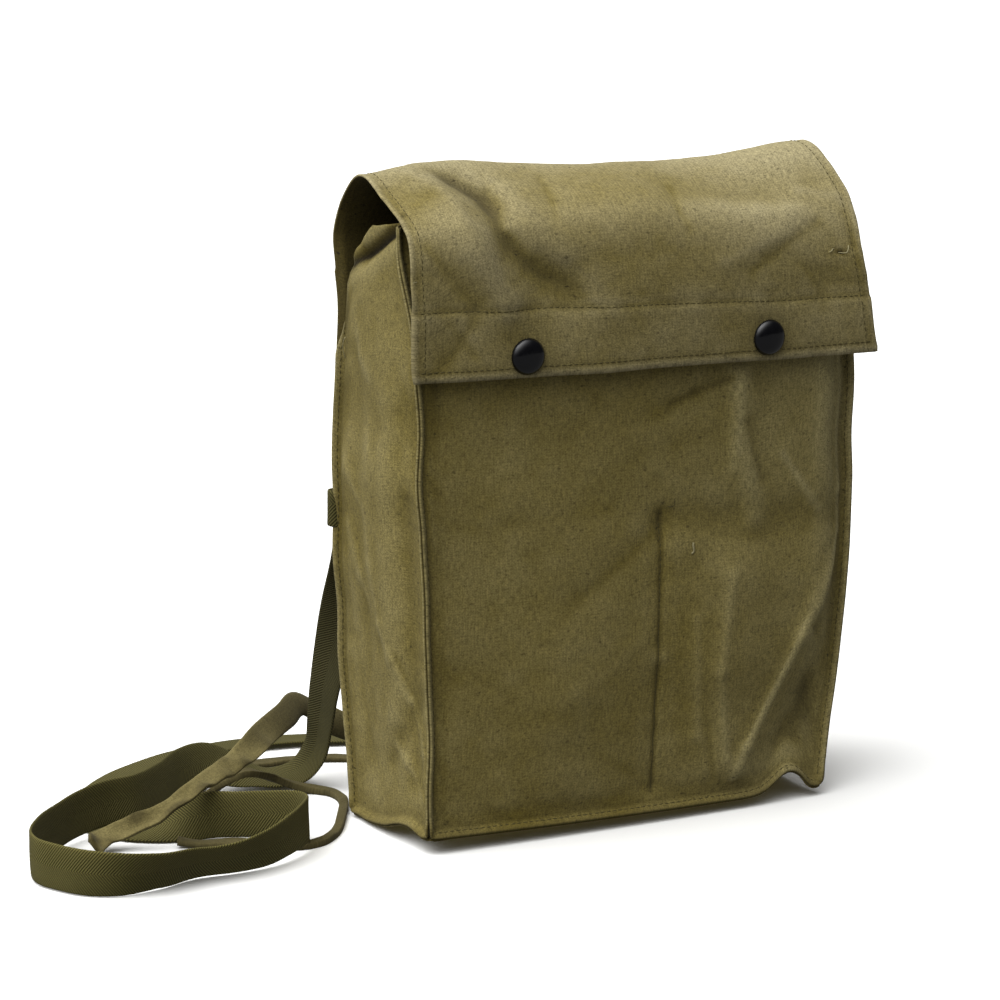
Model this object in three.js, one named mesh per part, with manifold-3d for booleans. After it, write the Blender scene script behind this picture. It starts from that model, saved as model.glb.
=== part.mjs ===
// Olive canvas military shoulder bag standing on a floor, its straps laid beside it.
// Millimetres, Z up, the front faces -Y, the origin is the middle of the bag on the floor.
import * as THREE from "three";
import { mergeVertices } from "three/addons/utils/BufferGeometryUtils.js";
import Module from "manifold-3d";

const wasm = await Module();
wasm.setup();

// What puts the middle of the bag's box, straps apart, over the origin
const CENTRE = { x: 3.85, y: 6.05 };

// Cloth
const CLOTH = 1.2;
const HEM_CLOTH = 2.4;
const GAP = 0.4;
const WELT = 4;

// Body
const TOP = 258;
const EAR_TOP = 267;
const EAR_BACK = 10;
const EAR_SLOPE = 4;
const EAR_FALL = 26;
const GUSSET_BACK_TOP = 219;
const BACK_TOP = 240;
const FRONT_BULGE = 5;
const BACK_BULGE = 4;
const SIDE_BULGE = 4;
const SHOULDER = 0.9;
const TUCK = 1.5;
const TOP_LEAN = 0.1;

// Flap
const HEM = 26.5;
const FLAP_STAND = 5;

// Snaps
const CAP_RADIUS = 7.4;
const CAP_RISE = 3.4;
const POST_RADIUS = 2.4;
const SOCKET_RADIUS = 6;

// Straps
const TAPE_WIDTH = 20;
const TAPE_THICK = 1.3;
const TIE_WIDTH = 12;
const TIE_THICK = 1.6;
const NARROW_WIDTH = 7;
const NARROW_THICK = 2;

// Grid steps of the panels
const ACROSS = 18;
const UP = 25;
const DEEP = 9;
const BACK_ROWS = 14;
const FLAP_ROWS = 23;

// Where the four corner seams stand at each height
const SECTIONS = [
  { z: 0, left: -106, right: 85, frontLeft: -41, frontRight: -40, backLeft: 25, backRight: 26 },
  { z: 20, left: -106, right: 89.5, frontLeft: -41, frontRight: -37, backLeft: 28, backRight: 29 },
  { z: 50, left: -105.5, right: 95.5, frontLeft: -41, frontRight: -34, backLeft: 32, backRight: 32 },
  { z: 95, left: -107.5, right: 101, frontLeft: -41, frontRight: -32, backLeft: 33.5, backRight: 34 },
  { z: 150, left: -110, right: 103, frontLeft: -41, frontRight: -32, backLeft: 32, backRight: 34 },
  { z: 180, left: -110, right: 102.5, frontLeft: -41, frontRight: -32, backLeft: 30, backRight: 34 },
  { z: 214, left: -111, right: 102, frontLeft: -41, frontRight: -32, backLeft: 24.5, backRight: 31 },
  { z: 258, left: -113, right: 95, frontLeft: -38, frontRight: -31, backLeft: 28, backRight: 29 },
];

// How far each bottom corner is off the floor
const LIFT = { frontLeft: 10, frontRight: 7.5, backLeft: 5, backRight: 5 };

// The flap's way at its left edge, from the back's top over to its lower hem. To the right it rises
// by rightRise, and hangs slack by sag there and by edgeSag at its very edge
const FLAP_WAY = [
  { t: 0, y: 28, z: 240, left: -111.5, right: 100, rightRise: 0, sag: 0, edgeSag: 0 },
  { t: 0.1, y: 27.5, z: 256, left: -112, right: 99, rightRise: 0, sag: 0, edgeSag: 0 },
  { t: 0.2, y: 21, z: 270, left: -112, right: 98, rightRise: 0, sag: 0, edgeSag: 0 },
  { t: 0.29, y: 10, z: 281, left: -112, right: 96.5, rightRise: -1, sag: 0, edgeSag: 0 },
  { t: 0.36, y: 0, z: 284.5, left: -112, right: 96.5, rightRise: 0, sag: 0.6, edgeSag: 0 },
  { t: 0.46, y: -14, z: 280, left: -112, right: 97.5, rightRise: 5, sag: 4.6, edgeSag: 0 },
  { t: 0.56, y: -30, z: 272.5, left: -112, right: 99.5, rightRise: 8, sag: 12, edgeSag: 1 },
  { t: 0.63, y: -41, z: 265, left: -112, right: 99, rightRise: 6, sag: 9.3, edgeSag: 6 },
  { t: 0.69, y: -45.5, z: 255, left: -113, right: 98.5, rightRise: 2, sag: 6, edgeSag: 7.5 },
  { t: 0.85, y: -47.2, z: 230, left: -113.2, right: 101, rightRise: -3, sag: 0.6, edgeSag: 0 },
  { t: 1, y: -46.8, z: 205.5, left: -112, right: 105, rightRise: -6.6, sag: 0, edgeSag: 0 },
];

// Folds of a panel: a soft ridge (rise > 0) or valley along a line, on the panel's own two axes
const FRONT_FOLDS = [
  { name: "divider seam", a0: 2.5, b0: 136, a1: 0, b1: 6, width: 5, rise: -1.4 },
  { name: "fuller left of divider", a0: -42, b0: 110, a1: -42, b1: 40, width: 36, rise: 3 },
  { name: "fuller right of divider", a0: 38, b0: 100, a1: 39, b1: 20, width: 20, rise: 3 },
  { name: "step over divider", a0: 6, b0: 133, a1: 90, b1: 126, width: 8, rise: -1.4 },
  { name: "upper ridge", a0: 41, b0: 192, a1: 50, b1: 130, width: 9, rise: 2.2 },
  { name: "right ridge", a0: 90, b0: 196, a1: 93, b1: 70, width: 7, rise: 2.4 },
  { name: "corner crease", a0: 94, b0: 100, a1: 76, b1: 70, width: 9, rise: 2.4 },
  { name: "corner crease low", a0: 76, b0: 70, a1: 43, b1: 12, width: 8, rise: 2.6 },
  { name: "pushed in corner", a0: 80, b0: 38, a1: 68, b1: 20, width: 13, rise: -6.4 },
  { name: "under the flap", a0: 2, b0: 181, a1: 36, b1: 189, width: 6, rise: -1 },
];
const LEFT_FOLDS = [
  { name: "light ridge", a0: -18, b0: 190, a1: -16, b1: 50, width: 9, rise: 2 },
  { name: "rear valley", a0: 11, b0: 205, a1: 9, b1: 30, width: 9, rise: -1.2 },
  { name: "front valley", a0: -31, b0: 150, a1: -30, b1: 20, width: 6, rise: -1.4 },
  { name: "low crease", a0: -34, b0: 62, a1: -10, b1: 28, width: 6, rise: -1 },
  { name: "pleat", a0: -20, b0: 264, a1: 23, b1: 242, width: 5, rise: -4 },
  { name: "rear tuck", a0: 22, b0: 258, a1: 25, b1: 230, width: 5, rise: -4 },
];
const RIGHT_FOLDS = [
  { name: "ridge", a0: -8, b0: 190, a1: -6, b1: 60, width: 10, rise: 3 },
  { name: "valley", a0: 16, b0: 210, a1: 14, b1: 40, width: 9, rise: -4 },
];
// On the flap the second axis is the way up from its lower edge
const FLAP_FOLDS = [
  { name: "valley", a0: -87, b0: 95, a1: -78, b1: 79, width: 8, rise: -3.8 },
  { name: "valley middle", a0: -76, b0: 74, a1: -69, b1: 53, width: 8, rise: -2.4 },
  { name: "valley low", a0: -66, b0: 48, a1: -44, b1: 31, width: 9, rise: -2.8 },
  { name: "ridge beside it", a0: -97, b0: 68, a1: -75, b1: 31, width: 10, rise: 2.6 },
  { name: "top hump", a0: -82, b0: 114, a1: -78, b1: 110, width: 24, rise: 3 },
  { name: "top sag", a0: 0, b0: 110, a1: 50, b1: 108, width: 28, rise: -3.6 },
  { name: "middle fullness", a0: -14, b0: 44, a1: 36, b1: 44, width: 26, rise: 2.4 },
];

// Snaps on the flap: x, and the way up from the flap's lower edge
const SNAPS = [
  { side: "left", x: -65.1, up: 8 },
  { side: "right", x: 52.8, up: 8.4 },
];

// Tape loops on the back
const KEEPERS = [
  { side: "left", outer: -113, inner: -78, z: 135.5 },
  { side: "right", outer: 106, inner: 71, z: 135.5 },
];
const KEEPER_TALL = 16;
const KEEPER_STAND = 5.6;

// Strap ways. turn and lean give the way the tape's width points: lean 90 stands on its edge,
// lean 0 lies flat with its width along turn (degrees in plan)
const STRAP_WAY = [
  { x: -101, y: 38.2, z: 150, turn: 0, lean: 0 },
  { x: -101, y: 38.2, z: 122, turn: -4, lean: 0 },
  { x: -99.5, y: 45.5, z: 103, turn: -24, lean: 0 },
  { x: -100.5, y: 52.5, z: 84, turn: -50, lean: 0 },
  { x: -101.8, y: 59.2, z: 66, turn: -68, lean: 0 },
  { x: -103.2, y: 64, z: 48, turn: -80, lean: 0 },
  { x: -102.8, y: 69.5, z: 31, turn: -86, lean: 0 },
  { x: -103, y: 75.8, z: 16, turn: -90, lean: 0 },
  { x: -108, y: 83, z: 6.4, turn: -88, lean: 0 },
  { x: -118, y: 88, z: 3.4, turn: -84, lean: -8 },
  { x: -131, y: 92, z: 7, turn: -76, lean: -34 },
  { x: -146, y: 93, z: 12.4, turn: -68, lean: -62 },
  { x: -162, y: 86, z: 13, turn: -62, lean: -72 },
  { x: -178, y: 71, z: 13, turn: -60, lean: -76 },
  { x: -198, y: 56.5, z: 13.4, turn: -68, lean: -82 },
  { x: -214, y: 54, z: 13.4, turn: -72, lean: -86 },
  { x: -229, y: 49, z: 12, turn: -70, lean: -88 },
  { x: -244, y: 38, z: 11, turn: -70, lean: -88 },
  { x: -258, y: 24, z: 11, turn: -70, lean: -88 },
  { x: -268, y: 10, z: 10.6, turn: -70, lean: -88 },
  { x: -271, y: -3, z: 10.6, turn: -70, lean: -88 },
  { x: -268, y: -14, z: 10.6, turn: -70, lean: -88 },
  { x: -260, y: -28, z: 10.4, turn: -280, lean: -88 },
  { x: -248, y: -36.5, z: 10.2, turn: -288, lean: -78 },
  { x: -230, y: -37.5, z: 9.7, turn: -294, lean: -58 },
  { x: -211, y: -32.5, z: 8.9, turn: -295, lean: -50 },
  { x: -194, y: -33, z: 9.2, turn: -297, lean: -53 },
  { x: -178, y: -30.5, z: 10.4, turn: -298, lean: -64 },
  { x: -165, y: -24, z: 12.2, turn: -298, lean: -74 },
  { x: -154, y: -15, z: 13, turn: -298, lean: -84 },
  { x: -147.5, y: -7, z: 13, turn: -110, lean: -84 },
  { x: -148, y: 1, z: 12.8, turn: -110, lean: -82 },
  { x: -157, y: 10.5, z: 11.8, turn: -110, lean: -84 },
  { x: -167, y: 18, z: 11, turn: -110, lean: -86 },
  { x: -177.5, y: 24.5, z: 10.6, turn: -114, lean: -80 },
  { x: -188, y: 30, z: 8.6, turn: -120, lean: -58 },
  { x: -198, y: 37, z: 4.8, turn: -128, lean: -26 },
  { x: -207, y: 46, z: 1.7, turn: -142, lean: -3 },
  { x: -212, y: 60, z: 1.1, turn: -172, lean: 0 },
  { x: -209, y: 80, z: 1.1, turn: -200, lean: 0 },
  { x: -195, y: 104, z: 1.1, turn: -222, lean: 0 },
  { x: -168, y: 129, z: 1.4, turn: -236, lean: -2 },
  { x: -130, y: 147, z: 2.2, turn: -255, lean: -5 },
  { x: -88, y: 149, z: 2.2, turn: -277, lean: -5 },
  { x: -36, y: 132, z: 1.4, turn: -288, lean: -2 },
  { x: 16, y: 117, z: 1.1, turn: -283, lean: 0 },
  { x: 60, y: 105, z: 1.6, turn: -288, lean: 0 },
  { x: 86, y: 88, z: 2.2, turn: -320, lean: 0 },
  { x: 93, y: 66, z: 18, turn: -354, lean: 0 },
  { x: 93, y: 50, z: 56, turn: -360, lean: 0 },
  { x: 92, y: 41.5, z: 96, turn: -360, lean: 0 },
  { x: 91, y: 38.8, z: 124, turn: -360, lean: 0 },
  { x: 91, y: 38.8, z: 150, turn: -360, lean: 0 },
];
const TIE_LEFT_WAY = [
  { x: -44, y: 38, z: 42, turn: 90, lean: 90 },
  { x: -56, y: 43, z: 38, turn: 95, lean: 86 },
  { x: -70, y: 58, z: 30, turn: 102, lean: 76 },
  { x: -83, y: 75, z: 24.5, turn: 106, lean: 64 },
  { x: -93, y: 87, z: 29, turn: 108, lean: 56 },
  { x: -104, y: 86, z: 36.5, turn: 112, lean: 52 },
  { x: -118, y: 73, z: 35.5, turn: 116, lean: 48 },
  { x: -133.5, y: 61, z: 33, turn: 122, lean: 42 },
  { x: -147, y: 48.5, z: 30.5, turn: 128, lean: 36 },
  { x: -161, y: 37.5, z: 28.2, turn: 132, lean: 30 },
  { x: -176, y: 28, z: 26.4, turn: 128, lean: 26 },
  { x: -189, y: 20.5, z: 23.6, turn: 116, lean: 26 },
  { x: -200, y: 18.5, z: 18.5, turn: 100, lean: 30 },
  { x: -210, y: 23, z: 12.6, turn: 82, lean: 34 },
  { x: -219, y: 27.5, z: 8.6, turn: 84, lean: 34 },
  { x: -226, y: 28.5, z: 6.6, turn: 96, lean: 30 },
  { x: -231.5, y: 25, z: 5.6, turn: 108, lean: 30 },
  { x: -234.5, y: 19.5, z: 5.4, turn: 120, lean: 30 },
];
const TIE_RIGHT_WAY = [
  { x: 24, y: 39.4, z: 30, turn: 80, lean: 88 },
  { x: 4, y: 46, z: 26, turn: 70, lean: 60 },
  { x: -20, y: 64, z: 14, turn: 53, lean: 20 },
  { x: -44, y: 87, z: 3.2, turn: 46, lean: 4 },
  { x: -66, y: 106, z: 1.5, turn: 49, lean: 0 },
  { x: -87, y: 116, z: 1.3, turn: 70, lean: 0 },
  { x: -108, y: 118, z: 1.3, turn: 96, lean: 0 },
  { x: -128, y: 113.5, z: 1.3, turn: 110, lean: 0 },
  { x: -143, y: 104, z: 1.3, turn: 124, lean: 0 },
  { x: -152, y: 94, z: 1.3, turn: 148, lean: 0 },
  { x: -156, y: 84, z: 1.3, turn: 176, lean: 0 },
  { x: -155.5, y: 75.5, z: 4, turn: 206, lean: 0 },
  { x: -150, y: 68.5, z: 10.4, turn: 230, lean: 0 },
  { x: -142, y: 64, z: 14.8, turn: 244, lean: 0 },
  { x: -134, y: 65.5, z: 12.4, turn: 262, lean: 4 },
  { x: -126, y: 69.5, z: 8.4, turn: 282, lean: 4 },
  { x: -117, y: 71, z: 4.6, turn: 264, lean: 2 },
  { x: -108, y: 67.5, z: 2, turn: 233, lean: 0 },
  { x: -102.5, y: 60, z: 1.3, turn: 200, lean: 0 },
  { x: -102, y: 51, z: 1.3, turn: 170, lean: 0 },
  { x: -106, y: 40.5, z: 1.3, turn: 154, lean: 0 },
  { x: -112, y: 30, z: 1.3, turn: 150, lean: 0 },
  { x: -118, y: 20, z: 1.3, turn: 148, lean: 0 },
  { x: -125, y: 9, z: 1.3, turn: 144, lean: 0 },
  { x: -133, y: -0.5, z: 1.3, turn: 134, lean: 0 },
  { x: -141.5, y: -7, z: 1.3, turn: 113, lean: 0 },
  { x: -151, y: -8, z: 1.3, turn: 80, lean: 0 },
  { x: -160, y: -3.5, z: 1.3, turn: 60, lean: 0 },
  { x: -168, y: 5.5, z: 1.3, turn: 50, lean: 0 },
  { x: -177, y: 12, z: 1.3, turn: 62, lean: 0 },
  { x: -187, y: 15.5, z: 1.6, turn: 66, lean: 4 },
  { x: -196, y: 20, z: 2.6, turn: 58, lean: 8 },
];

const mix = (a, b, k) => a + (b - a) * k;
const clamp = (k) => Math.min(1, Math.max(0, k));
const smooth = (a, b, t) => {
  const k = clamp((t - a) / (b - a));
  return k * k * (3 - 2 * k);
};

// Smooth value of a table's column at a place on its first axis
function column(rows, axis, name) {
  return (t) => {
    let i = rows.findIndex((row) => t <= row[axis]);
    if (i < 0) i = rows.length - 1;
    i = Math.max(1, i);
    const a = rows[i - 1];
    const b = rows[i];
    const before = rows[Math.max(0, i - 2)];
    const after = rows[Math.min(rows.length - 1, i + 1)];
    const step = b[axis] - a[axis];
    const k = clamp((t - a[axis]) / step);
    const slopeA = ((b[name] - before[name]) / (b[axis] - before[axis])) * step;
    const slopeB = ((after[name] - a[name]) / (after[axis] - a[axis])) * step;
    const rise = b[name] - a[name];
    return a[name] + k * slopeA
      + k * k * (3 * rise - 2 * slopeA - slopeB)
      + k * k * k * (slopeA + slopeB - 2 * rise);
  };
}

const columns = (rows, axis) =>
  Object.fromEntries(Object.keys(rows[0]).map((name) => [name, column(rows, axis, name)]));
const section = columns(SECTIONS, "z");
const flapWay = columns(FLAP_WAY, "t");

// Height of the soft ridges of a fold table at (a, b)
function folds(rows, a, b) {
  let rise = 0;
  for (const row of rows) {
    const da = row.a1 - row.a0;
    const db = row.b1 - row.b0;
    const long = Math.hypot(da, db);
    const along = ((a - row.a0) * da + (b - row.b0) * db) / long;
    const across = ((a - row.a0) * db - (b - row.b0) * da) / long;
    const past = Math.max(0, -along, along - long);
    rise += row.rise * Math.exp(-(across * across + past * past) / (row.width * row.width));
  }
  return rise;
}

const arch = (k) => Math.sin(Math.PI * clamp(k));
const inside = (k, edge) => smooth(0, edge, k) * smooth(0, edge, 1 - k);

// Front panel at u (left to right) and v (bottom to top)
function frontPoint(u, v) {
  const middle = inside(u, 0.14);
  const level = v * mix(EAR_TOP, TOP, middle);
  const x = mix(section.left(level), section.right(level), u);
  const back = smooth(SHOULDER, 1, u);
  const ear = EAR_BACK * smooth(205, EAR_TOP, level) * (1 - middle);
  const full = FRONT_BULGE * arch(u) ** 0.6 * (0.35 + 0.65 * arch(v * 0.9 + 0.06));
  const puckered = 9 * Math.exp(-(((u - 0.92) / 0.055) ** 2)) * inside(u, 0.05);
  const lift = mix(LIFT.frontLeft, LIFT.frontRight, u) - 0.4 * arch(u) + puckered;
  const z = level + lift * (1 - v) ** 3;
  const soft = inside(u, 0.07) * smooth(0, 0.05, v);
  const y = mix(section.frontLeft(level), section.frontRight(level), back) - full + ear
    - soft * folds(FRONT_FOLDS, x, level);
  return new THREE.Vector3(x, y, z);
}

// Back at u (left to right) and a height
function backPoint(u, level) {
  const v = level / TOP;
  const x = mix(section.left(level), section.right(level), u);
  const y = mix(section.backLeft(level), section.backRight(level), u)
    + BACK_BULGE * arch(u) ** 0.7 * (0.4 + 0.6 * arch(v));
  const z = level + mix(LIFT.backLeft, LIFT.backRight, u) * (1 - v) ** 3;
  return new THREE.Vector3(x, y, z);
}

// Top edge of a gusset at w (front to back): level behind its front corner, then down to the back
function gussetTop(w) {
  const rear = clamp((w - 0.55) / 0.45);
  const notch = EAR_TOP - EAR_SLOPE - EAR_FALL - GUSSET_BACK_TOP;
  return EAR_TOP - EAR_SLOPE * smooth(0.15, 0.55, w) - EAR_FALL * rear - notch * rear ** 10;
}

// Gusset of one side at w (front to back) and v (bottom to top)
function gussetPoint(side, w, v) {
  const u = side < 0 ? 0 : 1;
  const level = v * gussetTop(w);
  const p = frontPoint(u, level / EAR_TOP).lerp(backPoint(u, level), w);
  const soft = inside(w, 0.07) * smooth(0, 0.05, v);
  const overPleat = Math.max(0, level - mix(EAR_TOP - 2, GUSSET_BACK_TOP, w));
  const rows = side < 0 ? LEFT_FOLDS : RIGHT_FOLDS;
  const out = SIDE_BULGE * arch(w) * arch(v * 0.8 + 0.1)
    + soft * folds(rows, p.y, level)
    - TUCK * arch(w) * smooth(0.72, 1, v) - TOP_LEAN * overPleat * inside(w, 0.1);
  p.x += side * out;
  p.z += inside(w, 0.2) * (1 - v) ** 3 * (3 * arch(w * 2) - arch(w * 2 - 1));
  return p;
}

// Bottom at u (left to right) and w (front to back): its four edges, sagging to the floor
function bottomPoint(u, w) {
  const front = frontPoint(u, 0);
  const back = backPoint(u, 0);
  const left = gussetPoint(-1, w, 0);
  const right = gussetPoint(1, w, 0);
  const edges = front.lerp(back, w).add(left.lerp(right, u));
  const near = frontPoint(0, 0).lerp(frontPoint(1, 0), u);
  const far = backPoint(0, 0).lerp(backPoint(1, 0), u);
  const p = edges.sub(near.lerp(far, w));
  p.z = mix(p.z, CLOTH / 2, inside(u, 0.16) * inside(w, 0.3));
  return p;
}

// Flap at u (left to right) and t (back top to lower hem)
function flapPoint(u, t) {
  const slack = flapWay.sag(t) * smooth(0.4, 0.85, u) + flapWay.edgeSag(t) * smooth(0.84, 1, u);
  const z0 = flapWay.z(t) + flapWay.rightRise(t) * u - slack;
  const x = mix(flapWay.left(t), flapWay.right(t), u);
  const fromBack = backPoint(u, BACK_TOP).y - FLAP_WAY[0].y;
  const body = clamp((x - section.left(z0)) / (section.right(z0) - section.left(z0)));
  const fromFront = Math.min(0,
    frontPoint(Math.min(body, SHOULDER), z0 / TOP).y - SECTIONS[0].frontLeft);
  const y0 = flapWay.y(t) + fromBack * (1 - smooth(0, 0.3, t)) + fromFront * smooth(0.5, 0.72, t);
  const up = flapUp(t);
  const rise = folds(FLAP_FOLDS, x, up) * smooth(0, 0.25, t) * smooth(0, HEM, up);
  const front = smooth(0.5, 0.72, t);
  const top = smooth(0.05, 0.3, t) * (1 - front);
  return new THREE.Vector3(x, y0 - rise * front, z0 + rise * top);
}

// Way along the cloth from the flap's lower edge up to t
function flapUp(t) {
  let way = 0;
  const steps = 24;
  for (let i = 0; i < steps; i += 1) {
    const a = mix(t, 1, i / steps);
    const b = mix(t, 1, (i + 1) / steps);
    way += Math.hypot(flapWay.y(b) - flapWay.y(a), flapWay.z(b) - flapWay.z(a));
  }
  return way;
}

// t of the flap at a way up from its lower edge
function flapAt(up) {
  let low = 0;
  let high = 1;
  for (let i = 0; i < 30; i += 1) {
    const t = (low + high) / 2;
    if (flapUp(t) > up) low = t;
    else high = t;
  }
  return low;
}

const FACE = {
  front: new THREE.Vector3(0, -1, 0),
  back: new THREE.Vector3(0, 1, 0),
  left: new THREE.Vector3(-1, 0, 0),
  right: new THREE.Vector3(1, 0, 0),
  under: new THREE.Vector3(0, 0, -1),
};

// Puts a seam point on its own side of the seam and, outside the seam, out along the welt.
// near: faces of the panels sewn here. beyond: those across which the point lies outside.
function seamPoint(p, face, near, beyond, welt = WELT) {
  const half = (CLOTH + GAP) / 2;
  const own = new THREE.Vector3();
  near.forEach((other) => own.add(face.clone().sub(other).normalize()));
  if (near.length) own.multiplyScalar(half / (near.length > 1 ? 1.5 : 1));
  const out = new THREE.Vector3();
  if (beyond.length) {
    out.copy(face);
    beyond.forEach((other) => out.add(other));
    out.setLength(welt);
  }
  return p.add(own).add(out);
}

// Grid of a panel with its sewn edges: columns 0 and last, row 0 are the tips of the welts
function panelGrid(point, face, across, up, sides) {
  const grid = [];
  for (let j = sides.low ? -1 : 0; j <= up + (sides.high ? 1 : 0); j += 1) {
    const row = [];
    for (let i = -1; i <= across + 1; i += 1) {
      const near = [];
      const beyond = [];
      const meet = (sewn, at, past) => {
        if (sewn && at) near.push(sewn);
        if (sewn && past) beyond.push(sewn);
      };
      meet(sides.first, i <= 0, i < 0);
      meet(sides.last, i >= across, i > across);
      meet(sides.low, j <= 0, j < 0);
      meet(sides.high, j >= up, j > up);
      row.push(seamPoint(point(clamp(i / across), clamp(j / up)), face, near, beyond));
    }
    grid.push(row);
  }
  return grid;
}

// Closed cloth wall about a grid of points
function sheet(grid, thick, flip) {
  const rows = grid.length;
  const cols = grid[0].length;
  const points = [];
  const at = (j, i) => grid[Math.min(rows - 1, Math.max(0, j))][Math.min(cols - 1, Math.max(0, i))];
  for (const sign of [1, -1]) {
    for (let j = 0; j < rows; j += 1) {
      for (let i = 0; i < cols; i += 1) {
        const du = at(j, i + 1).clone().sub(at(j, i - 1));
        const dv = at(j + 1, i).clone().sub(at(j - 1, i));
        const normal = du.cross(dv).normalize().multiplyScalar(flip ? -1 : 1);
        const wall = typeof thick === "function" ? thick(j, i) : thick;
        points.push(grid[j][i].clone().addScaledVector(normal, (sign * wall) / 2));
      }
    }
  }
  const index = [];
  const id = (j, i, inner) => (inner ? rows * cols : 0) + j * cols + i;
  const quad = (a, b, c, d) => {
    if (flip) index.push(a, c, b, a, d, c);
    else index.push(a, b, c, a, c, d);
  };
  for (let j = 0; j + 1 < rows; j += 1) {
    for (let i = 0; i + 1 < cols; i += 1) {
      quad(id(j, i), id(j, i + 1), id(j + 1, i + 1), id(j + 1, i));
      quad(id(j, i, 1), id(j + 1, i, 1), id(j + 1, i + 1, 1), id(j, i + 1, 1));
    }
  }
  for (let i = 0; i + 1 < cols; i += 1) {
    quad(id(0, i, 1), id(0, i + 1, 1), id(0, i + 1), id(0, i));
    quad(id(rows - 1, i), id(rows - 1, i + 1), id(rows - 1, i + 1, 1), id(rows - 1, i, 1));
  }
  for (let j = 0; j + 1 < rows; j += 1) {
    quad(id(j, 0), id(j + 1, 0), id(j + 1, 0, 1), id(j, 0, 1));
    quad(id(j, cols - 1, 1), id(j + 1, cols - 1, 1), id(j + 1, cols - 1), id(j, cols - 1));
  }
  return indexed(points, index);
}

function indexed(points, index) {
  const geometry = new THREE.BufferGeometry();
  geometry.setAttribute("position", new THREE.Float32BufferAttribute(
    points.flatMap((p) => [p.x, p.y, p.z]), 3));
  geometry.setIndex(index);
  geometry.computeVertexNormals();
  return geometry;
}

// Flat tape along a way, its width turned as the way says
function tape(way, width, thick, step) {
  const spine = new THREE.CatmullRomCurve3(way.map((p) => new THREE.Vector3(p.x, p.y, p.z)));
  const widths = new THREE.CatmullRomCurve3(way.map((p) => {
    const turn = THREE.MathUtils.degToRad(p.turn);
    const lean = THREE.MathUtils.degToRad(p.lean);
    return new THREE.Vector3(
      Math.cos(lean) * Math.cos(turn), Math.cos(lean) * Math.sin(turn), Math.sin(lean));
  }));
  spine.arcLengthDivisions = way.length * 20;
  const count = Math.round(spine.getLength() / step);
  const points = [];
  const index = [];
  for (let k = 0; k <= count; k += 1) {
    const t = spine.getUtoTmapping(k / count);
    const p = spine.getPoint(t);
    const ahead = spine.getTangent(t);
    const wide = widths.getPoint(t);
    wide.addScaledVector(ahead, -wide.dot(ahead)).normalize();
    const face = ahead.clone().cross(wide);
    for (const [a, b] of [[-1, -1], [1, -1], [1, 1], [-1, 1]]) {
      points.push(p.clone().addScaledVector(wide, (a * width) / 2)
        .addScaledVector(face, (b * thick) / 2));
    }
  }
  for (let k = 0; k < count; k += 1) {
    for (let i = 0; i < 4; i += 1) {
      const a = 4 * k + i;
      const b = 4 * k + ((i + 1) % 4);
      if (i === 2) index.push(a, b, a + 4, b, b + 4, a + 4);
      else index.push(a, b, b + 4, a, b + 4, a + 4);
    }
  }
  index.push(0, 2, 1, 0, 3, 2);
  const last = 4 * count;
  index.push(last, last + 1, last + 2, last, last + 2, last + 3);
  return indexed(points, index);
}

function solid(geometry) {
  const plain = geometry.clone();
  plain.deleteAttribute("normal");
  plain.deleteAttribute("uv");
  const merged = mergeVertices(plain, 1e-5);
  return new wasm.Manifold(new wasm.Mesh({
    numProp: 3,
    vertProperties: Float32Array.from(merged.attributes.position.array),
    triVerts: Uint32Array.from(merged.index.array),
  }));
}

function fromSolid(body) {
  const mesh = body.getMesh();
  const geometry = new THREE.BufferGeometry();
  geometry.setAttribute("position", new THREE.BufferAttribute(
    Float32Array.from(mesh.vertProperties), 3));
  geometry.setIndex(Array.from(mesh.triVerts));
  geometry.computeVertexNormals();
  return geometry;
}

// Turned piece about +Z from (radius, height) pairs, put at a point with Z along a direction
function turned(profile, place, axis, segments = 24) {
  const geometry = new THREE.LatheGeometry(
    profile.map(([radius, height]) => new THREE.Vector2(radius, height)), segments);
  geometry.rotateX(Math.PI / 2);
  const turn = new THREE.Quaternion().setFromUnitVectors(new THREE.Vector3(0, 0, 1), axis);
  geometry.applyQuaternion(turn);
  geometry.translate(place.x, place.y, place.z);
  geometry.deleteAttribute("uv");
  geometry.deleteAttribute("normal");
  const merged = mergeVertices(geometry, 1e-4);
  merged.computeVertexNormals();
  return merged;
}

const cloth = new THREE.MeshStandardMaterial({ color: 0x6b6239, roughness: 0.95 });
const tieCloth = new THREE.MeshStandardMaterial({ color: 0x7c7347, roughness: 0.95 });
const webbing = new THREE.MeshStandardMaterial({ color: 0x45431f, roughness: 0.95 });
const black = new THREE.MeshStandardMaterial({ color: 0x141418, roughness: 0.2 });

const bag = new THREE.Group();
bag.name = "shoulder_bag";
function add(name, geometry, material) {
  const mesh = new THREE.Mesh(geometry, material);
  mesh.name = name;
  mesh.position.set(CENTRE.x, CENTRE.y, 0);
  bag.add(mesh);
}

// Body panels
add("front_panel", sheet(panelGrid(frontPoint, FACE.front, ACROSS, UP,
  { first: FACE.left, last: FACE.right, low: FACE.under }), CLOTH, false), cloth);
add("left_gusset", sheet(panelGrid((w, v) => gussetPoint(-1, w, v), FACE.left, DEEP, UP,
  { first: FACE.front, last: FACE.back, low: FACE.under }), CLOTH, true), cloth);
add("right_gusset", sheet(panelGrid((w, v) => gussetPoint(1, w, v), FACE.right, DEEP, UP,
  { first: FACE.front, last: FACE.back, low: FACE.under }), CLOTH, false), cloth);
add("bottom_panel", sheet(panelGrid(bottomPoint, FACE.under, ACROSS, DEEP,
  { first: FACE.left, last: FACE.right, low: FACE.front, high: FACE.back }), CLOTH, true), cloth);

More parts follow.
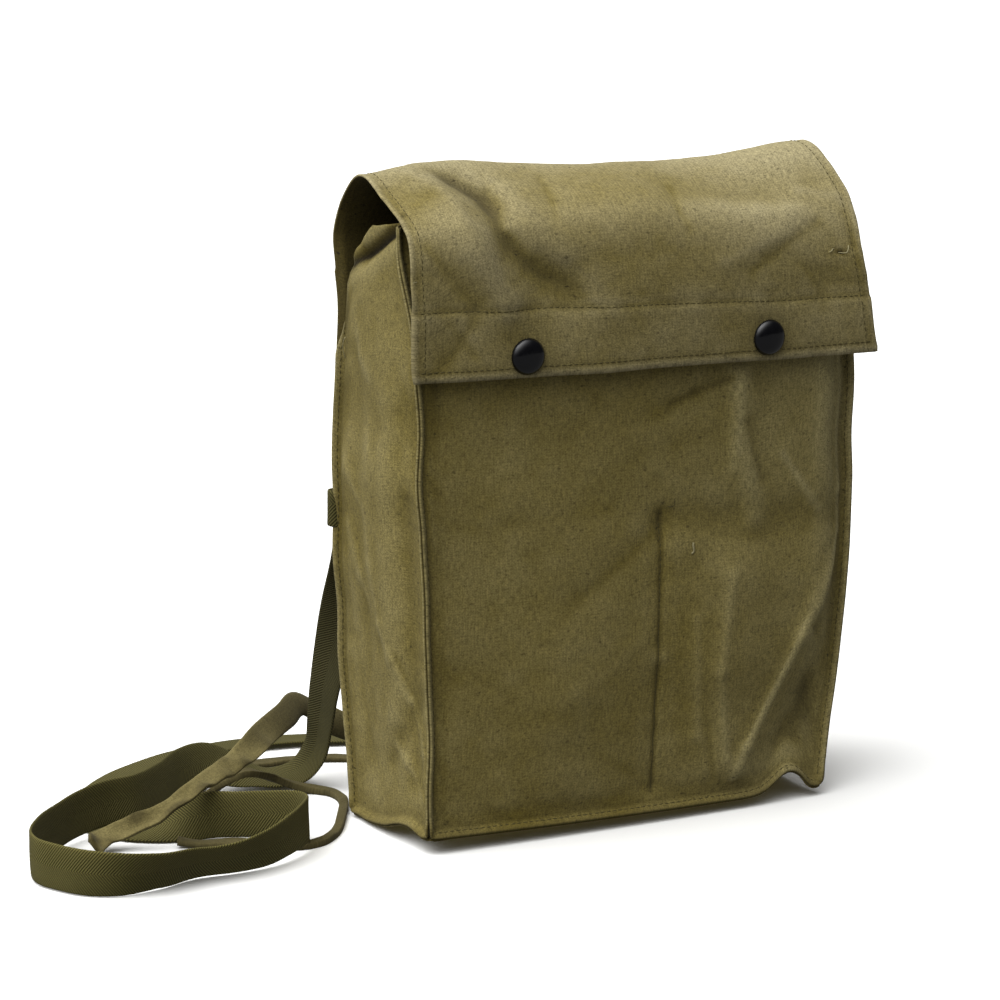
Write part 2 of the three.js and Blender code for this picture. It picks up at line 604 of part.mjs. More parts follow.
// Back and flap, one cloth: sewn to the gussets up the back, free at its sides from there on
const sewn = panelGrid((u, v) => backPoint(u, v * BACK_TOP), FACE.back, ACROSS, BACK_ROWS,
  { first: FACE.left, last: FACE.right, low: FACE.under });
const free = [];
for (let k = 1; k <= FLAP_ROWS; k += 1) {
  const t = k / FLAP_ROWS;
  const row = [];
  for (let i = -1; i <= ACROSS + 1; i += 1) {
    const p = flapPoint(clamp(i / ACROSS), t);
    const side = i < 0 ? FACE.left : FACE.right;
    const flat = smooth(0, 0.2, t);
    if (i < 0 || i > ACROSS) {
      const out = FACE.back.clone().multiplyScalar(1 - flat).add(side).setLength(WELT);
      p.add(out);
    }
    row.push(p);
  }
  free.push(row);
}
const backRows = sewn.concat(free);
const hemRow = backRows.length - 1 - Math.round((1 - flapAt(HEM)) * FLAP_ROWS);
let backAndFlap = solid(sheet(backRows, (j) => (j >= hemRow ? HEM_CLOTH : CLOTH), true));

// Snaps: cap with its post through the hem, and the hidden half behind it
for (const snap of SNAPS) {
  const t = flapAt(snap.up);
  const u = (snap.x - flapWay.left(t)) / (flapWay.right(t) - flapWay.left(t));
  const place = flapPoint(u, t);
  const acrossWay = flapPoint(u + 0.02, t).sub(flapPoint(u - 0.02, t));
  const downWay = flapPoint(u, t + 0.02).sub(flapPoint(u, t - 0.02));
  const axis = downWay.cross(acrossWay).normalize();
  const seat = HEM_CLOTH / 2 + GAP;
  const profile = [[0, -HEM_CLOTH / 2 - 0.2], [POST_RADIUS, -HEM_CLOTH / 2 - 0.2], [POST_RADIUS, seat]];
  profile.push([CAP_RADIUS - 0.5, seat], [CAP_RADIUS, seat + 0.5]);
  for (let k = 1; k <= 5; k += 1) {
    const bend = (k / 5) * (Math.PI / 2);
    profile.push([k === 5 ? 0 : CAP_RADIUS * Math.cos(bend), seat + 0.5 + CAP_RISE * Math.sin(bend)]);
  }
  add(`snap_cap_${snap.side}`, turned(profile, place, axis), black);
  const hole = [[0, -4], [POST_RADIUS + GAP, -4], [POST_RADIUS + GAP, 4], [0, 4]];
  backAndFlap = backAndFlap.subtract(solid(turned(hole, place, axis, 16)));
  const low = -FLAP_STAND + CLOTH / 2 + GAP;
  const high = -HEM_CLOTH / 2 - 0.2 - GAP;
  const disc = [[0, low], [SOCKET_RADIUS, low], [SOCKET_RADIUS, high], [0, high]];
  add(`snap_socket_${snap.side}`, turned(disc, place, axis, 18), black);
}
add("back_and_flap", fromSolid(backAndFlap), cloth);

// Tape loops on the back, standing off it so that the strap passes through
for (const keeper of KEEPERS) {
  const grid = [];
  const steps = 14;
  for (const edge of [-0.5, 0.5]) {
    const row = [];
    for (let k = 0; k <= steps; k += 1) {
      const along = k / steps;
      const x = mix(keeper.outer, keeper.inner, along);
      const z = keeper.z + edge * KEEPER_TALL;
      const u = clamp((x - section.left(z)) / (section.right(z) - section.left(z)));
      const stand = CLOTH + GAP + KEEPER_STAND * (1 - smooth(0.72, 1, along));
      row.push(new THREE.Vector3(x, backPoint(u, z).y + stand, z));
    }
    grid.push(row);
  }
  add(`strap_keeper_${keeper.side}`, sheet(grid, TAPE_THICK, keeper.side === "left"), webbing);
}

// Strap and ties
add("shoulder_strap", tape(STRAP_WAY, TAPE_WIDTH, TAPE_THICK, 12), webbing);
add("waist_tie_left", tape(TIE_LEFT_WAY, TIE_WIDTH, TIE_THICK, 12), tieCloth);
add("waist_tie_right", tape(TIE_RIGHT_WAY, NARROW_WIDTH, NARROW_THICK, 11), tieCloth);

export default bag;
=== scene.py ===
import math
import bpy
import numpy as np
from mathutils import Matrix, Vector


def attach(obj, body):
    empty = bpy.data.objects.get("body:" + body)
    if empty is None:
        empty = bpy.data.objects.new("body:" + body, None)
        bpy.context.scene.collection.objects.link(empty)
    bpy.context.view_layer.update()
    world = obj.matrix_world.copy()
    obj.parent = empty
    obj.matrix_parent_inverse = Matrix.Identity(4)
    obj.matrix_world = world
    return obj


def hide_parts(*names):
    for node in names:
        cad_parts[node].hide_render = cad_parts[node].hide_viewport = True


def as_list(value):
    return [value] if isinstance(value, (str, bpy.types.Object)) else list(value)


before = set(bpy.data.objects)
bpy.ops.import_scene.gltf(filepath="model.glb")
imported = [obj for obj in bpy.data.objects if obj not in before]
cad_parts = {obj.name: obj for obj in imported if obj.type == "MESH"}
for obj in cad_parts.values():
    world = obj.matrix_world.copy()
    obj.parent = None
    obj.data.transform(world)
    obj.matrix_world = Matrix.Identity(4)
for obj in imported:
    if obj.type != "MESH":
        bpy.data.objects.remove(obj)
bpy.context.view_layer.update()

mm = 0.001
middle = np.array([3.85, 6.05, 0.0])  # the sewing drawing's zero, seen from the part's own zero


# camera where the photo was taken from, a long lens
photoView = {"eye": (-1.08445, -1.87495, 0.6142), "aim": (-0.0465, 0.0062, 0.1394), "lens": 184.5}
cameraData = bpy.data.cameras.new("photo_camera")
cameraData.lens = photoView["lens"]
cameraData.sensor_width = 36
cameraData.clip_start, cameraData.clip_end = 0.1, 60
camera = bpy.data.objects.new("photo_camera", cameraData)
camera.location = photoView["eye"]
camera.rotation_euler = (Vector(photoView["aim"]) - camera.location).to_track_quat("-Z", "Y").to_euler()
bpy.context.scene.collection.objects.link(camera)
bpy.context.scene.camera = camera


def mix(a, b, k):
    return a + (b - a) * k


def smooth(a, b, t):
    k = np.clip((t - a) / (b - a), 0, 1)
    return k * k * (3 - 2 * k)


def arch(k):
    return np.sin(np.pi * np.clip(k, 0, 1))


def inside(k, edge):
    return smooth(0, edge, k) * smooth(0, edge, 1 - k)


def unit(v):
    return v / np.maximum(np.linalg.norm(v, axis=-1, keepdims=True), 1e-9)


# smooth value of one column of a table along its first column
def column(table, name):
    at, value = np.array(table[next(iter(table))], float), np.array(table[name], float)

    def read(t):
        t = np.asarray(t, float)
        i = np.clip(np.searchsorted(at, t), 1, len(at) - 1)
        before, after = np.maximum(i - 2, 0), np.minimum(i + 1, len(at) - 1)
        step = at[i] - at[i - 1]
        k = np.clip((t - at[i - 1]) / step, 0, 1)
        slopeA = (value[i] - value[before]) / (at[i] - at[before]) * step
        slopeB = (value[after] - value[i - 1]) / (at[after] - at[i - 1]) * step
        rise = value[i] - value[i - 1]
        return (value[i - 1] + k * slopeA + k**2 * (3 * rise - 2 * slopeA - slopeB)
                + k**3 * (slopeA + slopeB - 2 * rise))
    return read


# height that falls away with distance as a bell
def bell(far, wide):
    return np.exp(-(far / wide) ** 2)


# one round mark: its place, its two half widths and its height
def spot(row, a, b):
    a0, b0, wideA, wideB, height = row
    return height * bell(a - a0, wideA) * bell(b - b0, wideB)


# distance of a place from a line between two others, how far along from 0 to 1, and on which side
def offLine(a, b, a0, b0, a1, b1):
    da, db = a1 - a0, b1 - b0
    k = np.clip(((a - a0) * da + (b - b0) * db) / (da**2 + db**2), 0, 1)
    return np.hypot(a - a0 - k * da, b - b0 - k * db), k, (a - a0) * db - (b - b0) * da


# soft ridges and valleys along lines; with sharp they come to a pressed edge, a little rounded at its tip
def folds(rows, a, b, sharp=False):
    rise = np.zeros(np.broadcast(a, b).shape)
    tip = 0.02
    for _, a0, b0, a1, b1, width, height in rows:
        far = offLine(a, b, a0, b0, a1, b1)[0]
        rise = rise + height * (np.exp(-np.sqrt((far / width) ** 2 + tip)) if sharp else bell(far, width))
    return rise


# ridges and valleys along lines of (a, b, height), with one reach on the left and another on the right
def rolls(rows, a, b):
    rise = np.zeros(np.broadcast(a, b).shape)
    for _, left, right, line in rows:
        far, side, high = rise * 0 + 1e6, rise * 0, rise * 0
        for (a0, b0, h0), (a1, b1, h1) in zip(line, line[1:]):
            gone, k, off = offLine(a, b, a0, b0, a1, b1)
            side = np.where(gone < far, off, side)
            high = np.where(gone < far, mix(h0, h1, k), high)
            far = np.minimum(far, gone)
        rise = rise + high * np.exp((1 - np.hypot(far, 1)) / np.where(side < 0, right, left))
    return rise


# smooth random height from -1 to 1 on a lattice of the given cell size
def ripple(a, b, cell, seed):
    lattice = np.random.default_rng(seed).uniform(-1, 1, (61, 61))
    a, b = np.asarray(a) / cell + 500, np.asarray(b) / cell + 500
    i, j = np.floor(a).astype(int), np.floor(b).astype(int)
    p, q = smooth(0, 1, a - i), smooth(0, 1, b - j)
    i, j = i % 60, j % 60
    return mix(mix(lattice[i, j], lattice[i + 1, j], p), mix(lattice[i, j + 1], lattice[i + 1, j + 1], p), q)


# ripples of several sizes on top of each other: height, cell, seed, and how each way is squeezed
def ripples(rows, a, b):
    return sum(height * ripple(a * squeezeA, b * squeezeB, cell, seed)
               for height, cell, seed, squeezeA, squeezeB in rows)


# puckers that a sewn edge draws into the cloth beside it: height, reach, cell, seed
def puckers(row, far, along):
    height, reach, cell, seed = row
    return height * np.exp(-far / reach) * ripple(along, far * 0.25, cell, seed)


# way along a run of points, or along each run of a grid
def wayAlong(points, axis=0):
    steps = np.linalg.norm(np.diff(points, axis=axis), axis=-1)
    return np.insert(np.cumsum(steps, axis), 0, 0, axis)


# slow drift of the whole bag's cloth, the same for every panel, so that sewn edges stay together
def sway(p):
    x, y, z = p[..., 0], p[..., 1], p[..., 2]
    calm = smooth(4, 40, z)
    return np.stack([0.9 * ripple(z, y * 0.6, 23, 3) * calm,
                     0.8 * ripple(z + 40, x * 0.5, 27, 4) * calm,
                     0.5 * ripple(x + 90, y * 0.5, 31, 5) * calm], -1)


# rides on the bag's one body, and stands for its node if it has one
def fit(piece, slot, node=None):
    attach(piece, "root")
    if node:
        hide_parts(node)


# a mesh from millimetres in the drawing to metres in the frame
def meshPiece(name, points, faces, material, uv=None, marks=None):
    mesh = bpy.data.meshes.new(name)
    mesh.from_pydata(((points + middle) * mm).tolist(), [], faces)
    mesh.polygons.foreach_set("use_smooth", np.ones(len(mesh.polygons), bool))
    if uv is not None:
        corner = np.empty(len(mesh.loops), np.int32)
        mesh.loops.foreach_get("vertex_index", corner)
        layer = mesh.uv_layers.new(name="cloth")
        layer.data.foreach_set("uv", (uv * mm)[corner].astype(np.float32).ravel())
    for mark, values in (marks or {}).items():
        data = mesh.attributes.new(mark, "FLOAT", "POINT").data
        data.foreach_set("value", np.asarray(values, np.float32).ravel())
    mesh.materials.append(material)
    mesh.update()
    piece = bpy.data.objects.new(name, mesh)
    bpy.context.scene.collection.objects.link(piece)
    return piece


# srgb hex to linear colour
def hexColour(code):
    parts = [int(code[i:i + 2], 16) / 255 for i in (1, 3, 5)]
    return tuple(c / 12.92 if c <= 0.04045 else ((c + 0.055) / 1.055) ** 2.4 for c in parts) + (1.0,)


# gives a tree its one function for adding a node: kind, inputs (a value, or what it is linked to), settings
def nodesOf(tree):
    def add(kind, values=None, **settings):
        node = tree.nodes.new(kind if "Node" in kind else "ShaderNode" + kind)
        for name, value in settings.items():
            setattr(node, name, value)
        for socket, value in (values or {}).items():
            if isinstance(value, bpy.types.Node):
                value = value.outputs[0]
            if isinstance(value, bpy.types.NodeSocket):
                tree.links.new(value, node.inputs[socket])
            else:
                node.inputs[socket].default_value = value
        return node
    return add


def newMaterial(name):
    material = bpy.data.materials.new(name)
    material.use_nodes = True
    material.node_tree.nodes.clear()
    return material, nodesOf(material.node_tree)


# what all the cloth shares: its own map, its darkening from dirt and painted shade, its paleness from wear
# and painted light, and fading in blotches a few centimetres across
def clothBase(add, look):
    uv = add("UVMap", uv_map="cloth")
    here = add("TexCoord").outputs["Object"]
    wear_and_light = add("Attribute", attribute_name="wear_and_light").outputs["Fac"]
    dirt_and_shade = add("Attribute", attribute_name="dirt_and_shade").outputs["Fac"]
    patch = add("TexNoise", {"Vector": here, "Scale": 1 / (look["blotch"] * mm), "Detail": 3.0,
                             "Roughness": look["blotchRough"]})
    patchy = add("MapRange", {"Value": patch, "From Min": 0.3, "From Max": 0.7, "To Min": -look["patchy"],
                              "To Max": look["patchy"]})
    paleness = add("Math", {0: wear_and_light, 1: patchy}, operation="ADD", use_clamp=True)
    return uv, paleness, dirt_and_shade


# plain-woven cotton canvas, vat dyed: dull, grainy, thick and thin threads, paler where it rubs and where
# light is painted, darker with dirt and painted shade
def canvasMaterial(name, look):
    material, add = newMaterial(name)
    uv, paleness, dirt_and_shade = clothBase(add, look)
    perThread = 1 / (look["thread"] * mm)
    tones = []
    for stretch in ((perThread, perThread * 0.2, 1), (perThread * 0.36, perThread, 1)):
        lines = add("Mapping", {"Vector": uv, "Scale": stretch})
        tones.append(add("TexNoise", {"Vector": lines, "Scale": 1.0, "Detail": 3.0}))
    both = add("Math", {0: tones[0], 1: tones[1]}, operation="ADD")
    split = add("SeparateXYZ", {0: uv})
    waves = []
    for axis in (0, 1):
        wander = add("Math", {0: tones[axis], 1: look["wander"]}, operation="MULTIPLY")
        turn = add("Math", {0: split.outputs[axis], 1: math.pi * perThread, 2: wander},
                   operation="MULTIPLY_ADD")
        waves.append(add("Math", {0: turn}, operation="SINE"))
    overUnder = add("Math", {0: waves[0], 1: waves[1]}, operation="MULTIPLY")
    grain = add("TexNoise", {"Vector": uv, "Scale": 1 / (look["grain"] * mm), "Detail": 2.0})
    tone = add("Math", {0: both, 1: grain}, operation="ADD")
    uneven = add("MapRange", {"Value": tone, "From Min": 1.1, "From Max": 1.9,
                              "To Min": 1 - look["contrast"], "To Max": 1 + look["contrast"]}, clamp=False)
    shade = add("Math", {0: overUnder, 1: look["weave"], 2: uneven}, operation="MULTIPLY_ADD")
    # paler with wear and fading, and where light is painted on
    paleMix = add("Mix", {0: paleness, 6: hexColour(look["fresh"]), 7: hexColour(look["faded"])}, data_type="RGBA")
    toned = add("VectorMath", {0: paleMix.outputs[2], "Scale": shade}, operation="SCALE")
    # dark slubs: short thick bits of thread, a few millimetres apart
    slubLong, slubHigh = (1 / (size * mm) for size in look["slub"])
    slubMap = add("Mapping", {"Vector": uv, "Scale": (slubLong, slubHigh, 1)})
    slub = add("TexNoise", {"Vector": slubMap, "Scale": 1.0, "Detail": 1.0})
    slubDark = add("MapRange", {"Value": slub, "From Min": 0.66, "From Max": 0.78, "To Min": 0.0,
                                "To Max": look["slubs"]})
    # darker with dirt and painted shade, and with the slubs
    darkening = add("Math", {0: dirt_and_shade, 1: slubDark}, operation="ADD", use_clamp=True)
    final = add("Mix", {0: darkening, 6: toned, 7: hexColour(look["dirt_and_shade"])}, data_type="RGBA")
    lift = add("Math", {0: overUnder, 1: look["weave"], 2: tone}, operation="MULTIPLY_ADD")
    bump = add("Bump", {"Height": lift, "Strength": look["bump"], "Distance": 0.4 * mm})
    rough = add("MapRange", {"Value": tone, "From Min": 1.1, "From Max": 1.9, "To Min": 0.98,
                             "To Max": 0.84})
    shader = add("BsdfPrincipled", {"Base Color": final.outputs[2], "Roughness": rough, "Normal": bump,
                                    "IOR": 1.5, "Specular IOR Level": 0.25, "Sheen Weight": 0.1,
                                    "Sheen Roughness": 0.5, "Sheen Tint": hexColour("#c8c2a6")})
    add("OutputMaterial", {0: shader})
    return material


# herringbone cotton tape: fine slanting ribs that turn back along the middle, dull with darker furrows
def tapeMaterial(name, look):
    material, add = newMaterial(name)
    uv, paleness, dirt_and_shade = clothBase(add, look)
    split = add("SeparateXYZ", {0: uv})
    turnBack = add("Math", {0: split.outputs[1], 1: look["half"] * mm}, operation="PINGPONG")
    slant = add("Math", {0: turnBack, 1: look["slant"], 2: split.outputs[0]}, operation="MULTIPLY_ADD")
    turn = add("Math", {0: slant, 1: 2 * math.pi / (look["rib"] * mm)}, operation="MULTIPLY")
    rib = add("Math", {0: turn}, operation="SINE")
    pick = add("TexNoise", {"Vector": uv, "Scale": 1 / (look["grain"] * mm), "Detail": 2.0})
    height = add("Math", {0: pick, 1: 1.6, 2: rib}, operation="MULTIPLY_ADD")
    ribTone = add("MapRange", {"Value": height, "From Min": -0.4, "From Max": 2.0})
    top = add("Mix", {0: paleness, 6: hexColour(look["rise"]), 7: hexColour(look["faded"])}, data_type="RGBA")
    ribbed = add("Mix", {0: ribTone, 6: hexColour(look["furrow"]), 7: top.outputs[2]}, data_type="RGBA")
    # darker with dirt and painted shade
    colour = add("Mix", {0: dirt_and_shade, 6: ribbed.outputs[2], 7: hexColour(look["dirt_and_shade"])}, data_type="RGBA")
    bump = add("Bump", {"Height": height, "Strength": look["bump"], "Distance": 0.3 * mm})
    rough = add("MapRange", {"Value": ribTone, "To Min": 0.97, "To Max": 0.8})
    shader = add("BsdfPrincipled", {"Base Color": colour.outputs[2], "Roughness": rough, "Normal": bump,
                                    "IOR": 1.5, "Specular IOR Level": 0.3, "Sheen Weight": 0.1,
                                    "Sheen Tint": hexColour("#a8a276")})
    add("OutputMaterial", {0: shader})
    return material


# stamped brass under black enamel: glossy, a little wavy, with fine rubs in the gloss
def enamelMaterial(name, look):
    material, add = newMaterial(name)
    here = add("TexCoord").outputs["Object"]
    rub = add("TexNoise", {"Vector": here, "Scale": 1 / (look["rub"] * mm), "Detail": 4.0})
    rough = add("MapRange", {"Value": rub, "From Min": 0.35, "From Max": 0.75, "To Min": look["gloss"],
                             "To Max": look["dull"]})
    tint = add("Mix", {0: rub, 6: hexColour(look["black"]), 7: hexColour(look["grey"])}, data_type="RGBA")
    wave = add("TexNoise", {"Vector": here, "Scale": 1 / (look["wave"] * mm), "Detail": 1.0})
    bump = add("Bump", {"Height": wave, "Strength": 0.12, "Distance": 0.6 * mm})
    shader = add("BsdfPrincipled", {"Base Color": tint.outputs[2], "Roughness": rough, "Normal": bump,
                                    "IOR": 1.5, "Specular IOR Level": 0.4})
    add("OutputMaterial", {0: shader})
    return material


# cotton sewing thread: dull twisted strands, waxed dark where it sews, paler where the cloth has frayed
def threadMaterial(name, look):
    material, add = newMaterial(name)
    here = add("TexCoord").outputs["Object"]
    strand = add("TexNoise", {"Vector": here, "Scale": 1 / (look["strand"] * mm), "Detail": 2.0})
    tint = add("Mix", {0: strand, 6: hexColour(look["dark"]), 7: hexColour(look["light"])},
               data_type="RGBA")
    shader = add("BsdfPrincipled", {"Base Color": tint.outputs[2], "Roughness": 0.75, "IOR": 1.5,
                                    "Specular IOR Level": 0.3})
    add("OutputMaterial", {0: shader})
    return material


# a real thread of this canvas is about 0.5 mm; drawn at 0.8, as coarse as it looks in the photo
canvasLook = {"fresh": "#6d6028", "faded": "#92875b", "dirt_and_shade": "#28210f", "thread": 0.8, "wander": 5,
              "grain": 0.45, "contrast": 0.48, "weave": 0.1, "blotch": 45, "blotchRough": 0.6, "patchy": 0.16,
              "slub": (3.03, 1.923), "slubs": 0.5, "bump": 0.4}
canvas = canvasMaterial("olive_cotton_canvas", canvasLook)
# the flap has had more sun, so its dye has gone greyer; the greyer tint is also painted light, the cooler top
# light on the flap
sunAndTopLightCanvas = canvasMaterial("sun_faded_top_lit_canvas", {**canvasLook, "faded": "#948a67"})
# the ties are a plainer, evener strip of the same weave
tieCanvas = canvasMaterial("faded_tie_canvas", {
    **canvasLook, "fresh": "#584f2b", "faded": "#7c7248", "dirt_and_shade": "#26210f", "grain": 0.6, "contrast": 0.34,
    "weave": 0.08, "blotch": 40, "patchy": 0.2, "slubs": 0.3, "bump": 0.35})
# real ribs are about 1 mm apart on such tape; these are 1.3, as the photo shows
tape = tapeMaterial("herringbone_cotton_tape", {
    "rise": "#615b28", "faded": "#7c743c", "furrow": "#353113", "dirt_and_shade": "#1f1c0a", "half": 10, "slant": 0.8,
    "rib": 1.3, "grain": 0.6, "blotch": 45, "blotchRough": 0.5, "patchy": 0.25, "bump": 0.6})
enamel = enamelMaterial("black_enamelled_brass", {
    "black": "#050507", "grey": "#0d0d11", "gloss": 0.1, "dull": 0.26, "rub": 1.6, "wave": 6})
darkThread = threadMaterial("waxed_cotton_thread", {"dark": "#393319", "light": "#58502b", "strand": 0.35})
paleThread = threadMaterial("frayed_cotton_thread", {"dark": "#7d7552", "light": "#a69e79", "strand": 0.4})
print("bag: materials made")


# heights of the four corner seams and where they stand, millimetres
seams = {
    "z": (0, 20, 50, 95, 150, 180, 214, 258),
    "left": (-106, -106, -105.5, -107.5, -110, -110, -111, -113),
    "right": (85, 89.5, 95.5, 101, 103, 102.5, 102, 95),
    "frontLeft": (-41, -41, -41, -41, -41, -41, -41, -38),
    "frontRight": (-40, -37, -34, -32, -32, -32, -32, -31),
    "backLeft": (25, 28, 32, 33.5, 32, 30, 24.5, 28),
    "backRight": (26, 29, 32, 34, 34, 34, 31, 29),
}
section = {name: column(seams, name) for name in seams}
bag = {"cloth": 1.2, "hemCloth": 2.4, "gap": 0.4, "welt": 4, "top": 258, "earTop": 267, "earBack": 10,
       "earSlope": 4, "earFall": 21, "gussetBackTop": 219, "backTop": 240, "shoulder": 0.9, "tuck": 1.5,
       "topLean": 0.1, "lift": (10, 7.5, 5, 5), "cell": 1.5, "insideShade": 0.65, "seamGap": 0.1}

# folds and creases: name, from, to, half width, height. Places are x or y, then z; on the flap x, then the
# way up from its lower edge. Single marks: place, half widths, depth. The fade values say how pale the cloth
# is painted, from wear and fading, and in places from painted light
front = {
    "bulge": 5, "size": (205, 258), "calm": 9, "cornerArch": (0.92, 0.055, 9),
    "ripples": ((0.35, 24, 11, 1, 1), (0.16, 10, 12, 1, 1), (0.07, 5, 13, 1, 1)),
    "divider": ((0, 6), (2.5, 136)), "dividerPucker": (0.5, 9, 7, 14), "dividerSunk": (1.1, 0.8),
    # painted shade along the divider seam's groove
    "dividerShade": (1.2, 0.35), "edgePucker": (0.45, 7, 8, 15),
    # how pale; the extra paleness high on the right is painted light against the flap's cast shadow
    "paleness": 0.29, "rightFade": 0.16, "highRightLight": 0.2,
    # painted shade in the pushed-in lower right corner; the flap's painted shadow; painted shade beside the
    # left seam under the flap
    "cornerShade": (84, 26, 11, 16, 0.42), "flapShadow": 0.04, "leftSeamShade": (-104.5, 3, 0.35),
    "folds": [
        ("divider seam", 2.5, 136, 0, 6, 5, -0.5),
        ("fuller left of divider", -42, 110, -42, 40, 36, 3),
        ("fuller right of divider", 38, 100, 39, 20, 20, 3),
        ("step over divider", 6, 133, 90, 126, 9, -1.2),
        ("upper ridge", 41, 192, 50, 130, 7, 1.8),
        ("right ridge", 90, 196, 93, 70, 6, 1.6),
        ("corner crease", 94, 100, 76, 70, 6, 1.4),
        ("corner crease low", 76, 70, 43, 12, 6, 0.9),
        ("pushed in corner", 82, 36, 72, 18, 12, -4.6),
        ("under the flap", 2, 181, 36, 189, 8, -0.4),
    ],
    # pale lines along the pressed edges: wear, and a painted highlight on crests finer than the mesh
    "rubsAndHighlights": [
        ("right edge", 97, 200, 97.5, 130, 1.4, 0.6),
        ("right edge low", 97.5, 130, 97.5, 112, 1.4, 0.7),
        ("turns in", 97.5, 112, 84, 79, 1.4, 0.6),
        ("turn to corner", 84, 79, 77, 74, 1.4, 0.5),
        ("corner line", 77, 74, 46, 22, 1.3, 0.5),
        ("corner line foot", 46, 22, 40, 8, 1.5, 0.35),
        ("slant", 65, 156, 84, 126, 1.5, 0.25),
        ("upper ridge", 41.5, 190, 42, 158, 1.3, 0.3),
    ],
    "creases": [
        ("pressed in under the flap", -67, 262, -45, 226, 10, -3.4),
        ("dark nick under the flap", 8, 183, 20, 187, 2.6, -1.8),
        ("nick runs on", 20, 187, 38, 192, 2.6, -1.5),
        ("faint one below", -8, 164, 22, 166, 5, -0.4),
        ("upper ridge edge", 41, 192, 39, 153, 4, 1.1),
        ("valley right of it", 47, 172, 54, 146, 4, -1.8),
        ("thin slant ridge", 65, 156, 80, 133, 2.6, 0.8),
        ("slant ridge runs on", 80, 133, 84, 126, 3, 0.6),
        ("right pressed edge", 97, 200, 97.5, 130, 2.2, 1.7),
        ("right pressed edge low", 97.5, 130, 97.5, 112, 2.2, 1.8),
        ("turns in", 97.5, 112, 84, 79, 2.2, 1.5),
        ("notch", 77, 74, 84, 68, 3, -1.1),
        ("long corner edge", 77, 74, 46, 22, 2.2, 1.5),
        ("corner edge foot", 46, 22, 40, 8, 2.6, 1.2),
        ("left slant valley", 0, 128, -38, 103, 12, -2),
        ("left slant ridge", 0, 84, -46, 54, 16, 1.3),
        ("faint band left", -98, 137, -24, 141, 7, -0.6),
        ("faint band right of divider", 30, 122, 92, 118, 6, -0.5),
        ("rib by the divider", 20, 86, 22, 30, 3, 0.9),
        ("rib middle", 37, 104, 32, 60, 4, 1.5),
        ("rib middle low", 32, 60, 36, 18, 4, 1.4),
        ("short one at the foot", 27, 34, 30, 10, 2.4, -0.7),
        ("low pucker", -30, 30, -6, 14, 6, -0.5),
        ("left low", -84, 44, -60, 20, 8, -0.4),
    ],
}
gusset = {
    "bulge": 4, "size": (70, 255), "calm": 8, "paleness": 0.32, "rearSeamShade": 0.5, "weltEnds": 0.93,
    "leftRipples": ((0.4, 21, 20, 1.6, 0.7), (0.18, 9, 23, 1.4, 1)), "leftPucker": (0.5, 7, 8, 26),
    "rightRipples": ((0.4, 21, 22, 1.6, 0.7), (0.18, 9, 25, 1.4, 1)), "rightPucker": (0.5, 7, 8, 28),
    "leftFolds": [
        ("light ridge", -18, 190, -16, 50, 9, 2),
        ("rear valley", 11, 205, 9, 30, 9, -1.2),
        ("front valley", -31, 150, -30, 20, 6, -1.4),
        ("low crease", -34, 62, -10, 28, 6, -1),
        ("pleat", -20, 264, 8, 250, 5, -4),
    ],
    "leftCreases": [
        ("long edge", 5.3, 141, -0.9, 116.6, 4, 0.7),
        ("long edge low", -0.9, 116.6, -7.1, 91, 3.4, 0.8),
        ("to the corner", -7.1, 91, -16.1, 76.5, 2.4, 0.9),
        ("to the corner middle", -16.1, 76.5, -26.4, 58.3, 2.2, 0.9),
        ("to the corner low", -26.4, 58.3, -35.2, 34.9, 2.2, 0.9),
        ("to the corner foot", -35.2, 34.9, -41, 13, 2.4, 0.8),
        ("furrow beside it", -19.5, 79, -27.6, 60.5, 2, -0.8),
        ("second edge", -14, 36, -23, 26.8, 2.4, 0.9),
        ("second edge foot", -23, 26.8, -38, 11, 2.4, 0.8),
        ("from the back", 24.4, 131, 11.3, 110.3, 4.5, 0.8),
        ("from the back low", 11.3, 110.3, 1, 98, 4, 0.7),
        ("high wander", 9, 217, 6.7, 207.4, 3, 0.7),
        ("high wander low", 6.7, 207.4, -1.7, 199, 3, 0.8),
        ("waist edge", 31, 167, 24, 155.4, 4, 0.8),
        ("waist edge low", 24, 155.4, 11.7, 144.8, 4, 0.8),
        ("middle streak", 0, 181, -1, 157, 5, 0.6),
        ("rear streak", 20, 80, 14, 38, 5, -0.7),
        ("pleat lip", -18, 268, 24, 247, 2.6, 1.3),
        ("pleat slit", -22, 265.5, 24, 242, 1.8, -2.4),
        ("pleat under", -22, 259, 18, 237, 3, 0.9),
    ],
    # painted shade in the pleat's slit
    "leftSlitShade": [("pleat slit", -18, 263, 22, 243, 2, 0.8)],
    "rightSlitShade": [],
    "rightFolds": [
        ("ridge", -8, 190, -6, 60, 10, 3),
        ("valley", 16, 210, 14, 40, 9, -4),
    ],
    "rightCreases": [
        ("slant", -22, 120, 6, 70, 4, 1.1),
        ("slant low", 6, 70, 2, 30, 5, 0.9),
        ("high slant", 14, 206, -12, 170, 4, -1),
        ("foot crease", -20, 44, 4, 18, 4, -1),
    ],
}
